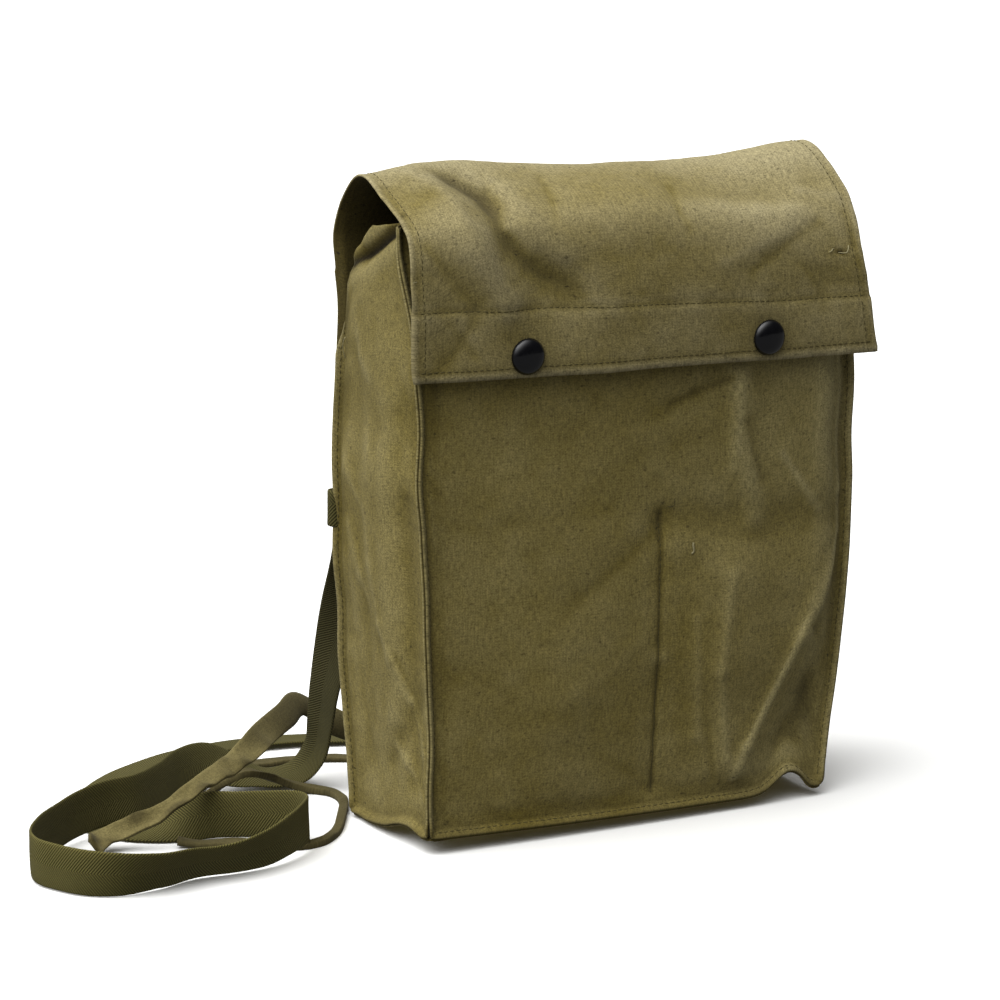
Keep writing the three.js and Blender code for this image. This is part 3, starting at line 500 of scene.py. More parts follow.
flap = {
    "hem": 26.5, "stand": 5, "backSize": (205, 240), "calm": 9, "seam": (28.5, 21),
    "ripples": ((0.3, 26, 41, 1, 1), (0.15, 11, 42, 1, 1), (0.07, 5, 43, 1, 1)),
    # each line of stitches: its puckers, how far in from the edge it lies, how deep and wide it sinks
    "sewing": {"seam": ((0.55, 8, 8, 44), 0, 0.5, 1.2), "hem": ((0.4, 6, 7, 45), 3.4, 0.3, 1.1),
               "side": ((0.4, 5, 8, 46), 3.2, 0.35, 1.0)},
    "snaps": {"left": (-65.1, 8), "right": (52.8, 8.4)}, "snapCalm": 13, "snapDirt": (10, 0.35),
    "hole": (91.6, 47.2, 2.2, 1.32, 1), "holeDeep": 1.1, "pinHole": (-113, 73, 1.3, 1.3, 1), "pinDeep": 0.5,
    # the darker middle and the valley's darkening are painted shade
    "paleness": 0.28, "shadedMiddle": (-10, 60, 40, 25, -0.12), "valleyShade": 0.44,
    "way": {
        "t": (0, 0.1, 0.2, 0.29, 0.36, 0.46, 0.56, 0.63, 0.69, 0.85, 1),
        "y": (28, 27.5, 21, 10, 0, -14, -30, -41, -45.5, -47.2, -46.8),
        "z": (240, 256, 270, 281, 284.5, 280, 272.5, 265, 255, 230, 205.5),
        "left": (-111.5, -112, -112, -112, -112, -112, -112, -112, -113, -113.2, -112),
        "right": (100, 99, 98, 96.5, 96.5, 97.5, 99.5, 99, 98.5, 101, 105),
        "rightRise": (0, 0, 0, -1, 0, 5, 8, 6, 2, -3, -6.6),
        "sag": (0, 0, 0, 0, 0.6, 4.6, 12, 9.3, 6, 0.6, 0),
        "edgeSag": (0, 0, 0, 0, 0, 0, 1, 6, 7.5, 0, 0),
    },
    "folds": [
        ("valley", -81, 97, -70, 80, 8, -2.2),
        ("valley middle", -71, 71, -71, 57, 8, -1.6),
        ("valley low", -67, 50, -46, 34, 9, -2),
        ("ridge beside it", -97, 68, -75, 31, 10, 2.6),
        ("top hump", -82, 114, -78, 110, 24, 3),
        ("top sag", 0, 110, 50, 108, 28, -3.6),
        ("middle fullness", -14, 44, 36, 44, 26, 2.4),
    ],
    "creases": [
        ("left furrow", -109, 55.5, -94, 35.5, 4.5, -0.8),
        ("left hem furrow", -101, 23, -85.5, 5, 3, -0.35),
        ("left hem ridge", -95, 22.5, -84, 8.6, 3, 0.3),
        ("right slack", 16.8, 77, 13.6, 61, 4, -0.7),
        ("right slack low", 13.6, 61, 16, 54.5, 4, -0.6),
        ("right ridge", 31, 41, 64, 52.7, 5, 0.8),
        ("right furrow", 45, 36.6, 83, 58, 4.5, -0.9),
        ("edge wedge", 98, 63, 98.5, 52, 3, -1),
        ("corner fold", 80, 74, 97, 70, 4, 0.8),
    ],
    "rolls": [
        ("big valley", 8, 4, (
            (-84, 100, -1.5), (-80, 95, -3.6), (-71, 83, -4.4), (-70.5, 71.7, -3.8), (-71.5, 60, -3),
            (-67.5, 52, -2.6), (-62.5, 44.8, -2.2), (-54, 39.3, -1.8), (-45, 35.9, -1.2), (-38, 31, -0.6))),
        ("roll beside it", 6, 8, (
            (-97, 99, 1.2), (-90, 90.5, 1.8), (-88, 75, 1.8), (-90, 61, 1.8), (-84, 46.5, 1.8),
            (-75, 31, 1.2))),
        ("shoulder", 4, 7, (
            (-63, 82, 1.4), (-60.6, 71, 1.4), (-59.7, 62, 1.2), (-55.4, 53, 1.2), (-44, 44, 0.8))),
        ("second valley", 5, 4, ((-41, 88, -0.9), (-43.5, 70, -0.9), (-45.6, 62, -0.6))),
    ],
}
flapWay = {name: column(flap["way"], name) for name in flap["way"]}
face = {"front": (0, -1, 0), "back": (0, 1, 0), "left": (-1, 0, 0), "right": (1, 0, 0), "under": (0, 0, -1)}
face = {name: np.array(v, float) for name, v in face.items()}


# share of the bag's width from its left seams to its right ones, at a height
def acrossBag(x, level):
    return (x - section["left"](level)) / (section["right"](level) - section["left"](level))


# x of the front's divider seam at a height
def dividerAt(level):
    (x0, z0), (x1, z1) = front["divider"]
    return mix(x0, x1, (level - z0) / (z1 - z0))


def frontPoint(u, v):
    centre = inside(u, 0.14)
    level = v * mix(bag["earTop"], bag["top"], centre)
    x = mix(section["left"](level), section["right"](level), u)
    ear = bag["earBack"] * smooth(205, bag["earTop"], level) * (1 - centre)
    full = front["bulge"] * arch(u) ** 0.6 * (0.35 + 0.65 * arch(v * 0.9 + 0.06))
    place, wide, height = front["cornerArch"]  # in the lower edge, by the right corner
    pushedUp = height * bell(u - place, wide) * inside(u, 0.05)
    lift = mix(bag["lift"][0], bag["lift"][1], u) - 0.4 * arch(u) + pushedUp
    soft = inside(u, 0.07) * smooth(0, 0.05, v)
    flat = mix(section["frontLeft"](level), section["frontRight"](level), smooth(bag["shoulder"], 1, u))
    y = flat - full + ear - soft * folds(front["folds"], x, level)
    return np.stack([x, y, level + lift * (1 - v) ** 3], -1)


def backPoint(u, level):
    v = level / bag["top"]
    x = mix(section["left"](level), section["right"](level), u)
    y = (mix(section["backLeft"](level), section["backRight"](level), u)
         + 4 * arch(u) ** 0.7 * (0.4 + 0.6 * arch(v)))
    return np.stack([x, y, level + mix(bag["lift"][2], bag["lift"][3], u) * (1 - v) ** 3], -1)


def gussetLevel(w, v):
    rear = np.clip((w - 0.55) / 0.45, 0, 1)
    notch = bag["earTop"] - bag["earSlope"] - bag["earFall"] - bag["gussetBackTop"]
    ear = bag["earTop"] - bag["earSlope"] * smooth(0.15, 0.55, w)
    return v * (ear - bag["earFall"] * rear - notch * rear**10)


def gussetPoint(side, w, v):
    u = np.full(np.broadcast(w, v).shape, 0.0 if side < 0 else 1.0)
    level = gussetLevel(w, v)
    p = mix(frontPoint(u, level / bag["earTop"]), backPoint(u, level), (w + 0 * v)[..., None])
    rows = gusset["leftFolds"] if side < 0 else gusset["rightFolds"]
    overPleat = np.maximum(0, level - mix(bag["earTop"] - 2, bag["gussetBackTop"], w))
    out = (gusset["bulge"] * arch(w) * arch(v * 0.8 + 0.1)
           + inside(w, 0.07) * smooth(0, 0.05, v) * folds(rows, p[..., 1], level)
           - bag["tuck"] * arch(w) * smooth(0.72, 1, v) - bag["topLean"] * overPleat * inside(w, 0.1))
    p[..., 0] += side * out
    p[..., 2] += inside(w, 0.2) * (1 - v) ** 3 * (3 * arch(w * 2) - arch(w * 2 - 1))
    return p


def bottomPoint(u, w):
    zero, one, k, n = 0 * u, 0 * u + 1, u[..., None], w[..., None]
    across = mix(gussetPoint(-1, w, zero), gussetPoint(1, w, zero), k)
    near = mix(frontPoint(zero, zero), frontPoint(one, zero), k)
    far = mix(backPoint(zero, zero), backPoint(one, zero), k)
    p = mix(frontPoint(u, zero), backPoint(u, zero), n) + across - mix(near, far, n)
    p[..., 2] = mix(p[..., 2], bag["cloth"] / 2, inside(u, 0.16) * inside(w, 0.3))
    return p


# way along the cloth from the flap's lower edge
tSteps = np.linspace(0, 1, 1201)
upSteps = wayAlong(np.stack([flapWay["y"](tSteps), flapWay["z"](tSteps)], -1))
upSteps = upSteps[-1] - upSteps


def flapUp(t):
    return np.interp(t, tSteps, upSteps)


def flapAt(up):
    return np.interp(up, upSteps[::-1], tSteps[::-1])


def flapPoint(u, t):
    slack = flapWay["sag"](t) * smooth(0.4, 0.85, u) + flapWay["edgeSag"](t) * smooth(0.84, 1, u)
    z0 = flapWay["z"](t) + flapWay["rightRise"](t) * u - slack
    x = mix(flapWay["left"](t), flapWay["right"](t), u)
    fromBack = backPoint(u, 0 * u + bag["backTop"])[..., 1] - flap["way"]["y"][0]
    body = np.clip(acrossBag(x, z0), 0, bag["shoulder"])
    fromFront = np.minimum(0, frontPoint(body, z0 / bag["top"])[..., 1] - seams["frontLeft"][0])
    onFront = smooth(0.5, 0.72, t)
    up = flapUp(t)
    rise = folds(flap["folds"], x, up) * smooth(0, 0.25, t) * smooth(0, flap["hem"], up)
    y = flapWay["y"](t) + fromBack * (1 - smooth(0, 0.3, t)) + fromFront * onFront
    return np.stack([x, y - rise * onFront, z0 + rise * smooth(0.05, 0.3, t) * (1 - onFront)], -1)


# outward direction of a grid of points
def facing(grid, flip):
    turned = np.cross(np.gradient(grid, axis=1), np.gradient(grid, axis=0))
    return unit(turned) * (-1 if flip else 1)


# how far a place stands out of the cloth around it, for wear on ridges and painted shade in valleys
def standsOut(grid, normal, reach):
    near = np.pad(grid, ((reach, reach), (reach, reach), (0, 0)), mode="edge")
    rows, cols = grid.shape[:2]
    around = sum(near[reach + j:reach + j + rows, reach + i:reach + i + cols]
                 for j, i in ((-reach, 0), (reach, 0), (0, -reach), (0, reach))) / 4
    return ((grid - around) * normal).sum(-1)


weltSteps = np.array([1, 0.75, 0.4])  # out along a sewn edge: tip, round, root
weltShare = 0.02  # what a welt counts for in u and v past its panel's edge


# grid of one panel with its turned-out sewn edges: points, and each place's u, v and way out along the welt
def panelGrid(point, own, sides, width, height, runOut=2.0):
    def axis(long, first, last):
        steps = int(long / bag["cell"])
        k = np.linspace(0, 1, steps + 1)
        a = np.concatenate([weltSteps * (first is not None), 0 * k, 0 * weltSteps])
        b = np.concatenate([0 * weltSteps, 0 * k, weltSteps[::-1] * (last is not None)])
        k = np.concatenate([0 * weltSteps, k, 0 * weltSteps + 1])
        keep = slice(0 if first is not None else 3, None if last is not None else len(k) - 3)
        return k[keep], a[keep], b[keep]
    first, last, low, high = (sides.get(n) for n in ("first", "last", "low", "high"))
    u, a, b = axis(width, first, last)
    v, c, d = axis(height, low, high)
    uGrid, vGrid = np.meshgrid(u, v)
    p = point(uGrid, vGrid)
    outs = [(first, np.tile(a, (len(v), 1)), uGrid * width),
            (last, np.tile(b, (len(v), 1)), (1 - uGrid) * width),
            (low, np.tile(c[:, None], (1, len(u))), vGrid * height),
            (high, np.tile(d[:, None], (1, len(u))), (1 - vGrid) * height)]
    move, lean, tip, near = 0 * p, 0 * p, 0 * uGrid, 0 * uGrid + 99
    for other, out, far in outs:
        if other is None:
            continue
        hold = 1 - smooth(0, 8, far)
        move += unit(own - other) * ((bag["cloth"] + bag["seamGap"]) / 2 * hold)[..., None]
        lean += other * out[..., None]
        tip = np.maximum(tip, out)
        near = np.minimum(near, far)
    welt = bag["welt"] * tip * (1 - 0.85 * smooth(runOut, runOut + 0.07, vGrid))
    lean = unit(lean + own * tip[..., None]) * welt[..., None]
    return {"point": p + move + lean, "u": uGrid, "v": vGrid, "tip": tip, "near": near}


# closed cloth with rounded edges about a grid of points
def clothSheet(name, grid, thick, flip, material, marks):
    rows, cols = grid.shape[:2]
    normal = facing(grid, flip)
    half = np.broadcast_to(np.asarray(thick) / 2, (rows, cols))[..., None]
    outer, inner = grid + normal * half, grid - normal * half
    ring = ([(0, i) for i in range(cols)] + [(j, cols - 1) for j in range(1, rows)]
            + [(rows - 1, i) for i in range(cols - 2, -1, -1)] + [(j, 0) for j in range(rows - 2, 0, -1)])
    rj, ri = np.array(ring).T
    back = grid[np.clip(rj, 1, rows - 2), np.clip(ri, 1, cols - 2)]
    rim = grid[rj, ri] + unit(grid[rj, ri] - back) * half[rj, ri] * 0.85
    across = wayAlong(grid, 1)
    across -= across[:, cols // 2:cols // 2 + 1]
    uv = np.stack([across, wayAlong(grid)], -1)
    index = np.arange(rows * cols).reshape(rows, cols)
    quad = np.stack([index[:-1, :-1], index[:-1, 1:], index[1:, 1:], index[1:, :-1]], -1).reshape(-1, 4)
    # the edge's outer, inner and rim points, and the next of each
    o, n, r = index[rj, ri], index[rj, ri] + rows * cols, np.arange(len(ring)) + 2 * rows * cols
    o2, n2, r2 = np.roll(o, -1), np.roll(n, -1), np.roll(r, -1)
    faces = np.concatenate([quad, quad[:, ::-1] + rows * cols, np.stack([o2, o, r, r2], -1),
                            np.stack([r2, r, n, n2], -1)])
    if flip:
        faces = faces[:, ::-1]

    def layers(values):
        flat = values.reshape(rows * cols, -1)
        return np.concatenate([flat, flat, values[rj, ri].reshape(len(ring), -1)])
    points = np.concatenate([outer.reshape(-1, 3), inner.reshape(-1, 3), rim])
    points[:, 2] = np.maximum(points[:, 2], 0.02)
    shown = {mark: layers(values[..., None]) for mark, values in marks.items()}
    shown["wear_and_light"][rows * cols:2 * rows * cols] = 0  # the inside never saw the sun
    # the inside of the cloth is painted darker: painted shade inside the bag
    shown["dirt_and_shade"][rows * cols:2 * rows * cols] = bag["insideShade"]
    piece = meshPiece(name, points, faces.tolist(), material, layers(uv), shown)
    return piece, outer


# place on a finished panel by its own u and v, standing off by lift
def onPanel(panel, u, v, lift=0.0):
    col = np.interp(u, panel["cols"], np.arange(len(panel["cols"])))
    row = np.interp(v, panel["rows"], np.arange(len(panel["rows"])))
    i = np.minimum(col.astype(int), len(panel["cols"]) - 2)
    j = np.minimum(row.astype(int), len(panel["rows"]) - 2)
    p, q = (col - i)[..., None], (row - j)[..., None]

    def read(g):
        return mix(mix(g[j, i], g[j, i + 1], p), mix(g[j + 1, i], g[j + 1, i + 1], p), q)
    return read(panel["outer"]) + read(panel["normal"]) * lift


# makes a panel from its grid: small wrinkles along its own normal, drift, wear, dirt, painted light and
# painted shade
def sewPanel(node, g, flip, wrinkle, paleness, dirtAndShade, cloth=canvas, thick=bag["cloth"]):
    grid = g["point"]
    grid = grid + facing(grid, flip) * wrinkle[..., None]
    grid = grid + sway(grid)
    normal = facing(grid, flip)
    ridge = 0.6 * standsOut(grid, normal, 2) + 0.25 * standsOut(grid, normal, 5)
    offFloor = smooth(0, 0.03, g["v"])
    wear_and_light = paleness + 0.4 * np.clip(ridge * 2.2, -0.35, 0.8) + 0.55 * smooth(0.5, 1, g["tip"]) * offFloor
    # the lower welts by the floor are painted darker: painted shade where the bag meets the floor
    lowWeltShade = 0.22 * smooth(0.3, 1, g["tip"]) * (1 - offFloor)
    # sunk places are painted darker: painted shade in the valleys
    dirt_and_shade = np.clip(-ridge * 0.5, 0, 0.3) + lowWeltShade + dirtAndShade
    piece, outer = clothSheet(node + "_cloth", grid, thick, flip, cloth, {"wear_and_light": wear_and_light, "dirt_and_shade": dirt_and_shade})
    # rows and columns as one rising number each, welts counted as small steps past the panel
    cols = g["u"][0] + np.where(g["u"][0] > 0.5, 1, -1) * g["tip"][len(g["tip"]) // 2] * weltShare
    rows = g["rowAt"] if "rowAt" in g else (
        g["v"][:, 0] + np.where(g["v"][:, 0] > 0.5, 1, -1) * g["tip"][:, len(cols) // 2] * weltShare)
    fit(piece, "canvas", node)
    return {"piece": piece, "outer": outer, "normal": normal, "cols": cols, "rows": rows}


panels = {}
g = panelGrid(frontPoint, face["front"], {"first": face["left"], "last": face["right"], "low": face["under"]},
              *front["size"])
x, z = g["point"][..., 0], g["v"] * bag["top"]
free = smooth(0, front["calm"], g["near"])
foot, head = (end[1] for end in front["divider"])
onDivider = smooth(head + 4, head - 2, z) * smooth(foot - 4, foot + 4, z)
beside = np.abs(x - dividerAt(z))
wide, deep = front["dividerSunk"]
wrinkle = free * (folds(front["creases"], x, z, sharp=True) + ripples(front["ripples"], x, z))
wrinkle += (free * puckers(front["dividerPucker"], beside, z) - deep * bell(beside, wide)) * onDivider
wrinkle += smooth(0, 3, g["near"]) * puckers(front["edgePucker"], g["near"], z + x)
# painted shade along the divider seam's groove
wide, depth = front["dividerShade"]
# painted shade in the pushed-in lower right corner
dirtAndShade = spot(front["cornerShade"], x, z) * free + depth * bell(beside, wide) * onDivider
# painted shadow under the flap's edge, and painted shade in a strip beside the left seam under the flap
streakX, wide, depth = front["leftSeamShade"]
dirtAndShade += front["flapShadow"] * smooth(182, 200, z) + depth * bell(x - streakX, wide) * smooth(165, 198, z)
# painted light: paler high on the right, thinning the flap's cast shadow there
highRight = smooth(20, 60, x) * smooth(120, 165, z)
paleness = front["paleness"] + front["rightFade"] * smooth(10, 50, x) + front["highRightLight"] * highRight
panels["front"] = sewPanel("front_panel", g, False, wrinkle, paleness + folds(front["rubsAndHighlights"], x, z), dirtAndShade)
print("bag: front panel sewn")

for side, name in ((-1, "left"), (1, "right")):
    g = panelGrid(lambda w, v: gussetPoint(side, w, v), face[name],
                  {"first": face["front"], "last": face["back"], "low": face["under"]}, *gusset["size"],
                  runOut=gusset["weltEnds"])
    y, z = g["point"][..., 1], gussetLevel(g["u"], g["v"])
    wrinkle = smooth(0, gusset["calm"], g["near"]) * (
        folds(gusset[name + "Creases"], y, z, sharp=True) + ripples(gusset[name + "Ripples"], y, z))
    wrinkle += smooth(0, 3, g["near"]) * puckers(gusset[name + "Pucker"], g["near"], z)
    # painted shade high on the rear seam, in the crease by the back's welt
    rearEdgeShade = gusset["rearSeamShade"] * smooth(0.9, 0.99, g["u"]) * smooth(205, 222, z)
    # the slit rows add painted shade in the pleat's slit
    panels[name] = sewPanel(name + "_gusset", g, side < 0, wrinkle, gusset["paleness"] + 0 * y,
                            rearEdgeShade + folds(gusset[name + "SlitShade"], y, z))
print("bag: gussets sewn")

bottom = {"size": (195, 64), "calm": 9, "ripples": ((0.15, 22, 31, 1, 1), (0.075, 9, 32, 1, 1)),
          "paleness": 0.3, "darkening": 0.15}
g = panelGrid(bottomPoint, face["under"],
              {"first": face["left"], "last": face["right"], "low": face["front"], "high": face["back"]},
              *bottom["size"])
x, y = g["point"][..., 0], g["point"][..., 1]
wrinkle = smooth(0, bottom["calm"], g["near"]) * ripples(bottom["ripples"], x, y)
panels["bottom"] = sewPanel("bottom_panel", g, True, wrinkle, bottom["paleness"] + 0 * x, bottom["darkening"] + 0 * x)
print("bag: bottom sewn")

# back and flap, one cloth: sewn up the back, then free over the top and down the front
g = panelGrid(lambda u, v: backPoint(u, v * bag["backTop"]), face["back"],
              {"first": face["left"], "last": face["right"], "low": face["under"]}, *flap["backSize"])
flapRows = int(upSteps[0] / bag["cell"])
tRows = np.linspace(0, 1, flapRows + 1)[1:]
# the sewn edges' small offset runs out before the cloth comes free
plain = backPoint(g["u"], g["v"] * bag["backTop"])
held = np.where(g["tip"] > 0, 0, 1) * smooth(0.9, 1, g["v"])
g["point"] = mix(g["point"], plain, held[..., None])
uCols, tipCols = g["u"][0], g["tip"][len(g["tip"]) // 2]
uFlap, tFlap = np.meshgrid(uCols, tRows)
tipFlap = np.tile(tipCols, (flapRows, 1))
loose = flapPoint(uFlap, tFlap)
sideWay = np.where(uFlap > 0.5, 1.0, -1.0)[..., None] * face["right"]
outward = unit(face["back"] * (1 - smooth(0, 0.2, tFlap))[..., None] + sideWay)
loose += outward * (bag["welt"] * tipFlap)[..., None]
whole = {"point": np.concatenate([g["point"], loose]), "u": np.concatenate([g["u"], uFlap]),
         "v": np.concatenate([g["v"], 1 + tFlap]), "near": np.concatenate([g["near"], 0 * tFlap + 99]),
         "tip": np.concatenate([g["tip"], 0 * tipFlap])}
whole["rowAt"] = np.concatenate([g["v"][:, 0] - g["tip"][:, len(uCols) // 2] * weltShare, 1 + tRows])
x = whole["point"][..., 0]
z = whole["v"] * bag["backTop"]
t = np.clip(whole["v"] - 1, 0, 1)
up = np.where(whole["v"] > 1, flapUp(t), 400)
onFlap = smooth(0, 0.05, t)
seamUp = mix(*flap["seam"], whole["u"])  # the upper hem stitch runs down a little to the right
offSeam = np.abs(up - seamUp)
sidewards = np.minimum(whole["u"], 1 - whole["u"]) * flap["backSize"][0]
toEdge = sidewards + bag["welt"] * (1 - np.concatenate([g["tip"], tipFlap]))
shaped = folds(flap["creases"], x, up, sharp=True) + rolls(flap["rolls"], x, up)
wrinkle = smooth(0, flap["calm"], whole["near"]) * (
    shaped * onFlap * smooth(0, 8, up) + ripples(flap["ripples"], x, z))
for name, far, along in (("seam", offSeam, x), ("hem", up, x), ("side", toEdge, up)):
    pucker, inward, deep, wide = flap["sewing"][name]
    wrinkle += (puckers(pucker, far, along) - deep * bell(far - inward, wide)) * onFlap
dirtWide, dirtDepth = flap["snapDirt"]
dirtAndShade = 0.18 * bell(offSeam, 1.0) + 0.15 * bell(up - flap["sewing"]["hem"][1], 0.9)  # dark lines of stitches
for place in flap["snaps"].values():
    wrinkle *= 1 - spot((*place, flap["snapCalm"], flap["snapCalm"], 1), x, up)
    dirtAndShade += spot((*place, dirtWide, dirtWide, dirtDepth), x, up)
hole, pin = spot(flap["hole"], x, up), spot(flap["pinHole"], x, up)
wrinkle -= flap["holeDeep"] * hole + flap["pinDeep"] * pin
# the big valley is painted darker with its depth: painted shade
valley = flap["rolls"][:1]
deepest = min(height for _, _, height in valley[0][3])
dirtAndShade += flap["valleyShade"] * np.clip(rolls(valley, x, up) / deepest, 0, 1)
# the hole and the pin hole are painted dark: painted shade of the hollow behind them
dirtAndShade = hole + 0.6 * pin + dirtAndShade * onFlap
hemWear = 0.55 * bell(up, 1.6) + 0.3 * bell(toEdge, 1.3) * onFlap
# paler toward the top and on the upper right where the light falls: painted light; a little paler over the
# hem; the darker middle: painted shade
lightShadeAndWear = (0.3 * smooth(10, 60, x) * smooth(35, 70, up) + 0.4 * smooth(78, 105, up) + 0.1 * smooth(32, 24, up)
          + spot(flap["shadedMiddle"], x, up))
thick = mix(bag["cloth"], bag["hemCloth"], smooth(seamUp + 1, seamUp - 1, up))
paleness = flap["paleness"] + hemWear + lightShadeAndWear * onFlap
panels["back"] = sewPanel("back_and_flap", whole, True, wrinkle, paleness, dirtAndShade, cloth=sunAndTopLightCanvas, thick=thick)
print("bag: back and flap sewn")


# turned piece about an axis from (radius, height) pairs; a radius of 0 closes it
def turnedPiece(name, profile, place, axis, segments, material):
    side = unit(np.cross(axis, (0.0, 0.0, 1.0)))
    rise = np.cross(side, axis)
    points, faces, rings = [], [], []
    for radius, height in profile:
        count = 1 if radius == 0 else segments
        rings.append([len(points) + k for k in range(count)])
        for k in range(count):
            turn = 2 * math.pi * k / segments
            points.append(place + axis * height + (side * math.cos(turn) + rise * math.sin(turn)) * radius)
    for low, high in zip(rings, rings[1:]):
        for k in range(segments):
            n = (k + 1) % segments
            if len(low) == 1:
                faces.append((low[0], high[n], high[k]))
            elif len(high) == 1:
                faces.append((low[k], low[n], high[0]))
            else:
                faces.append((low[k], low[n], high[n], high[k]))
    return meshPiece(name, np.array(points), faces, material)


snap = {"radius": 7.8, "rise": 3.4, "post": 2.4, "through": 0.2, "socket": 6, "segments": 48, "dome": 10,
        "socketSegments": 36}
for side, (snapX, snapUp) in flap["snaps"].items():
    t = float(flapAt(snapUp))
    u = (snapX - float(flapWay["left"](t))) / float(flapWay["right"](t) - flapWay["left"](t))
    beside = np.array([flapPoint(np.array(u + du), np.array(t + dt))
                       for du, dt in ((0, 0), (0, 0.02), (0, -0.02), (0.02, 0), (-0.02, 0))])
    place = beside[0] + sway(beside[0])
    axis = unit(np.cross(beside[1] - beside[2], beside[3] - beside[4]))
    seat = bag["hemCloth"] / 2 + bag["gap"]
    low = -bag["hemCloth"] / 2 - snap["through"]
    post, wide = snap["post"], snap["radius"]
    # post, underside and rolled rim, then the dome
    profile = [(0, low), (post - 0.3, low), (post, low + 0.3), (post, seat - 0.05), (wide - 1.2, seat - 0.05),
               (wide - 0.35, seat + 0.05), (wide, seat + 0.35), (wide - 0.05, seat + 0.6)]
    for k in range(1, snap["dome"] + 1):
        bend = k / snap["dome"] * math.pi / 2
        ringWide = 0 if k == snap["dome"] else (wide - 0.25) * math.cos(bend) ** 0.9
        profile.append((ringWide, seat + 0.6 + (snap["rise"] - 0.1) * math.sin(bend)))
    cap = turnedPiece("snap_dome_" + side, profile, place, axis, snap["segments"], enamel)
    fit(cap, "snap_black", "snap_cap_" + side)
    deep = -flap["stand"] + bag["cloth"] / 2 + bag["gap"]
    top = low - bag["gap"]
    wide = snap["socket"]
    ring = [(0, deep), (wide - 0.4, deep), (wide, deep + 0.3), (wide, top - 0.35), (wide - 0.35, top),
            (wide - 1.6, top), (wide - 2.2, top - 0.45), (2.6, top - 0.45), (2.2, top - 0.2), (0, top - 0.2)]
    socket = turnedPiece("snap_stud_" + side, ring, place, axis, snap["socketSegments"], enamel)
    fit(socket, "snap_black", "snap_socket_" + side)
print("bag: snaps set")


# points and width directions along a way at even steps
def followWay(way, step):
    rows = np.array(way, float)
    turn, lean = np.radians(rows[:, 3]), np.radians(rows[:, 4])
    widths = np.stack([np.cos(lean) * np.cos(turn), np.cos(lean) * np.sin(turn), np.sin(lean)], -1)

    def curve(points, count):
        ends = np.concatenate([[2 * points[0] - points[1]], points, [2 * points[-1] - points[-2]]])
        k = np.linspace(0, 1, count, endpoint=False)[:, None]
        run = []
        for p0, p1, p2, p3 in zip(ends, ends[1:], ends[2:], ends[3:]):
            d0, d1, d2 = (max(np.linalg.norm(b - a), 1e-4) ** 0.5 for a, b in ((p0, p1), (p1, p2), (p2, p3)))
            s1 = ((p1 - p0) / d0 - (p2 - p0) / (d0 + d1) + (p2 - p1) / d1) * d1
            s2 = ((p2 - p1) / d1 - (p3 - p1) / (d1 + d2) + (p3 - p2) / d2) * d1
            run.append(p1 + k * s1 + k**2 * (3 * (p2 - p1) - 2 * s1 - s2) + k**3 * (s1 + s2 - 2 * (p2 - p1)))
        return np.concatenate(run + [points[-1:]])
    spine, wide = curve(rows[:, :3], 24), curve(widths, 24)
    far = wayAlong(spine)
    even = np.linspace(0, far[-1], int(far[-1] / step) + 1)
    spine, wide = (np.stack([np.interp(even, far, g[:, i]) for i in range(3)], -1) for g in (spine, wide))
    ahead = unit(np.gradient(spine, axis=0))
    wide = unit(wide - ahead * (wide * ahead).sum(-1, keepdims=True))
    return spine, ahead, wide, even


# sections going round, in half widths and half thicknesses: a tape with woven edges, and a round thread
flatSide = [(k, -1) for k in (-0.9, -0.6, -0.3, 0, 0.3, 0.6, 0.9)]
halfTape = [(-1, 0), (-0.97, -0.7)] + flatSide + [(0.97, -0.7)]
tapeSection = halfTape + [(-a, -b) for a, b in halfTape]
roundSection = [(math.cos(math.pi * k / 3), math.sin(math.pi * k / 3)) for k in range(6)]


# strip of cloth along a spine; "wave" is how far its edges curl, the rest as in the settings below
def ribbon(name, spine, wide, ahead, even, width, thick, material, section=tapeSection, wave=0.0, paleness=0.3,
           seed=1, dirtAndShade=0.0, drawn=1.0, hollow=0.0, crumple=0.0):
    off = np.cross(ahead, wide)
    drawn, hollow = (drawn + 0 * even)[:, None], (hollow + 0 * even)[:, None]
    a, b = np.array(section).T
    count = len(section)
    curl = wave * ripple(even[:, None] + 0 * a, a * 14 + 7 * seed, 17, seed)
    crushed = (crumple + 0 * even)[:, None] * ripple(even[:, None] + 0 * a, a * width * 0.4 + 60, 8, seed + 9)
    across = a * width / 2 * drawn
    high = b * thick / 2 * (1 + 1.2 * (1 - drawn)) + curl + hollow * (a**2 - 0.5) + crushed
    points = spine[:, None] + wide[:, None] * across[..., None] + off[:, None] * high[..., None]
    points = points.reshape(-1, 3)
    points[:, 2] = np.maximum(points[:, 2], 0.03)
    index = np.arange(len(points)).reshape(len(spine), count)
    beside = np.roll(index, -1, axis=1)
    faces = np.stack([index[:-1], beside[:-1], beside[1:], index[1:]], -1).reshape(-1, 4).tolist()
    faces += [tuple(index[0][::-1]), tuple(index[-1])]
    uv = np.stack([np.repeat(even, count), np.tile((a + 1) * width / 2, len(spine))], -1)
    edge = np.tile(0.35 * smooth(0.85, 1, np.abs(a)), len(spine))
    raised = crushed.reshape(-1)
    # crushed tops a little paler, crushed hollows painted darker as painted shade
    marks = {"wear_and_light": paleness + edge + 0.2 * ripple(uv[:, 0], uv[:, 1], 30, seed + 5) + 0.25 * raised,
             "dirt_and_shade": np.repeat(dirtAndShade + 0 * even, count) + np.clip(-0.35 * raised, 0, 0.4)}
    return meshPiece(name, points, faces, material, uv, marks)
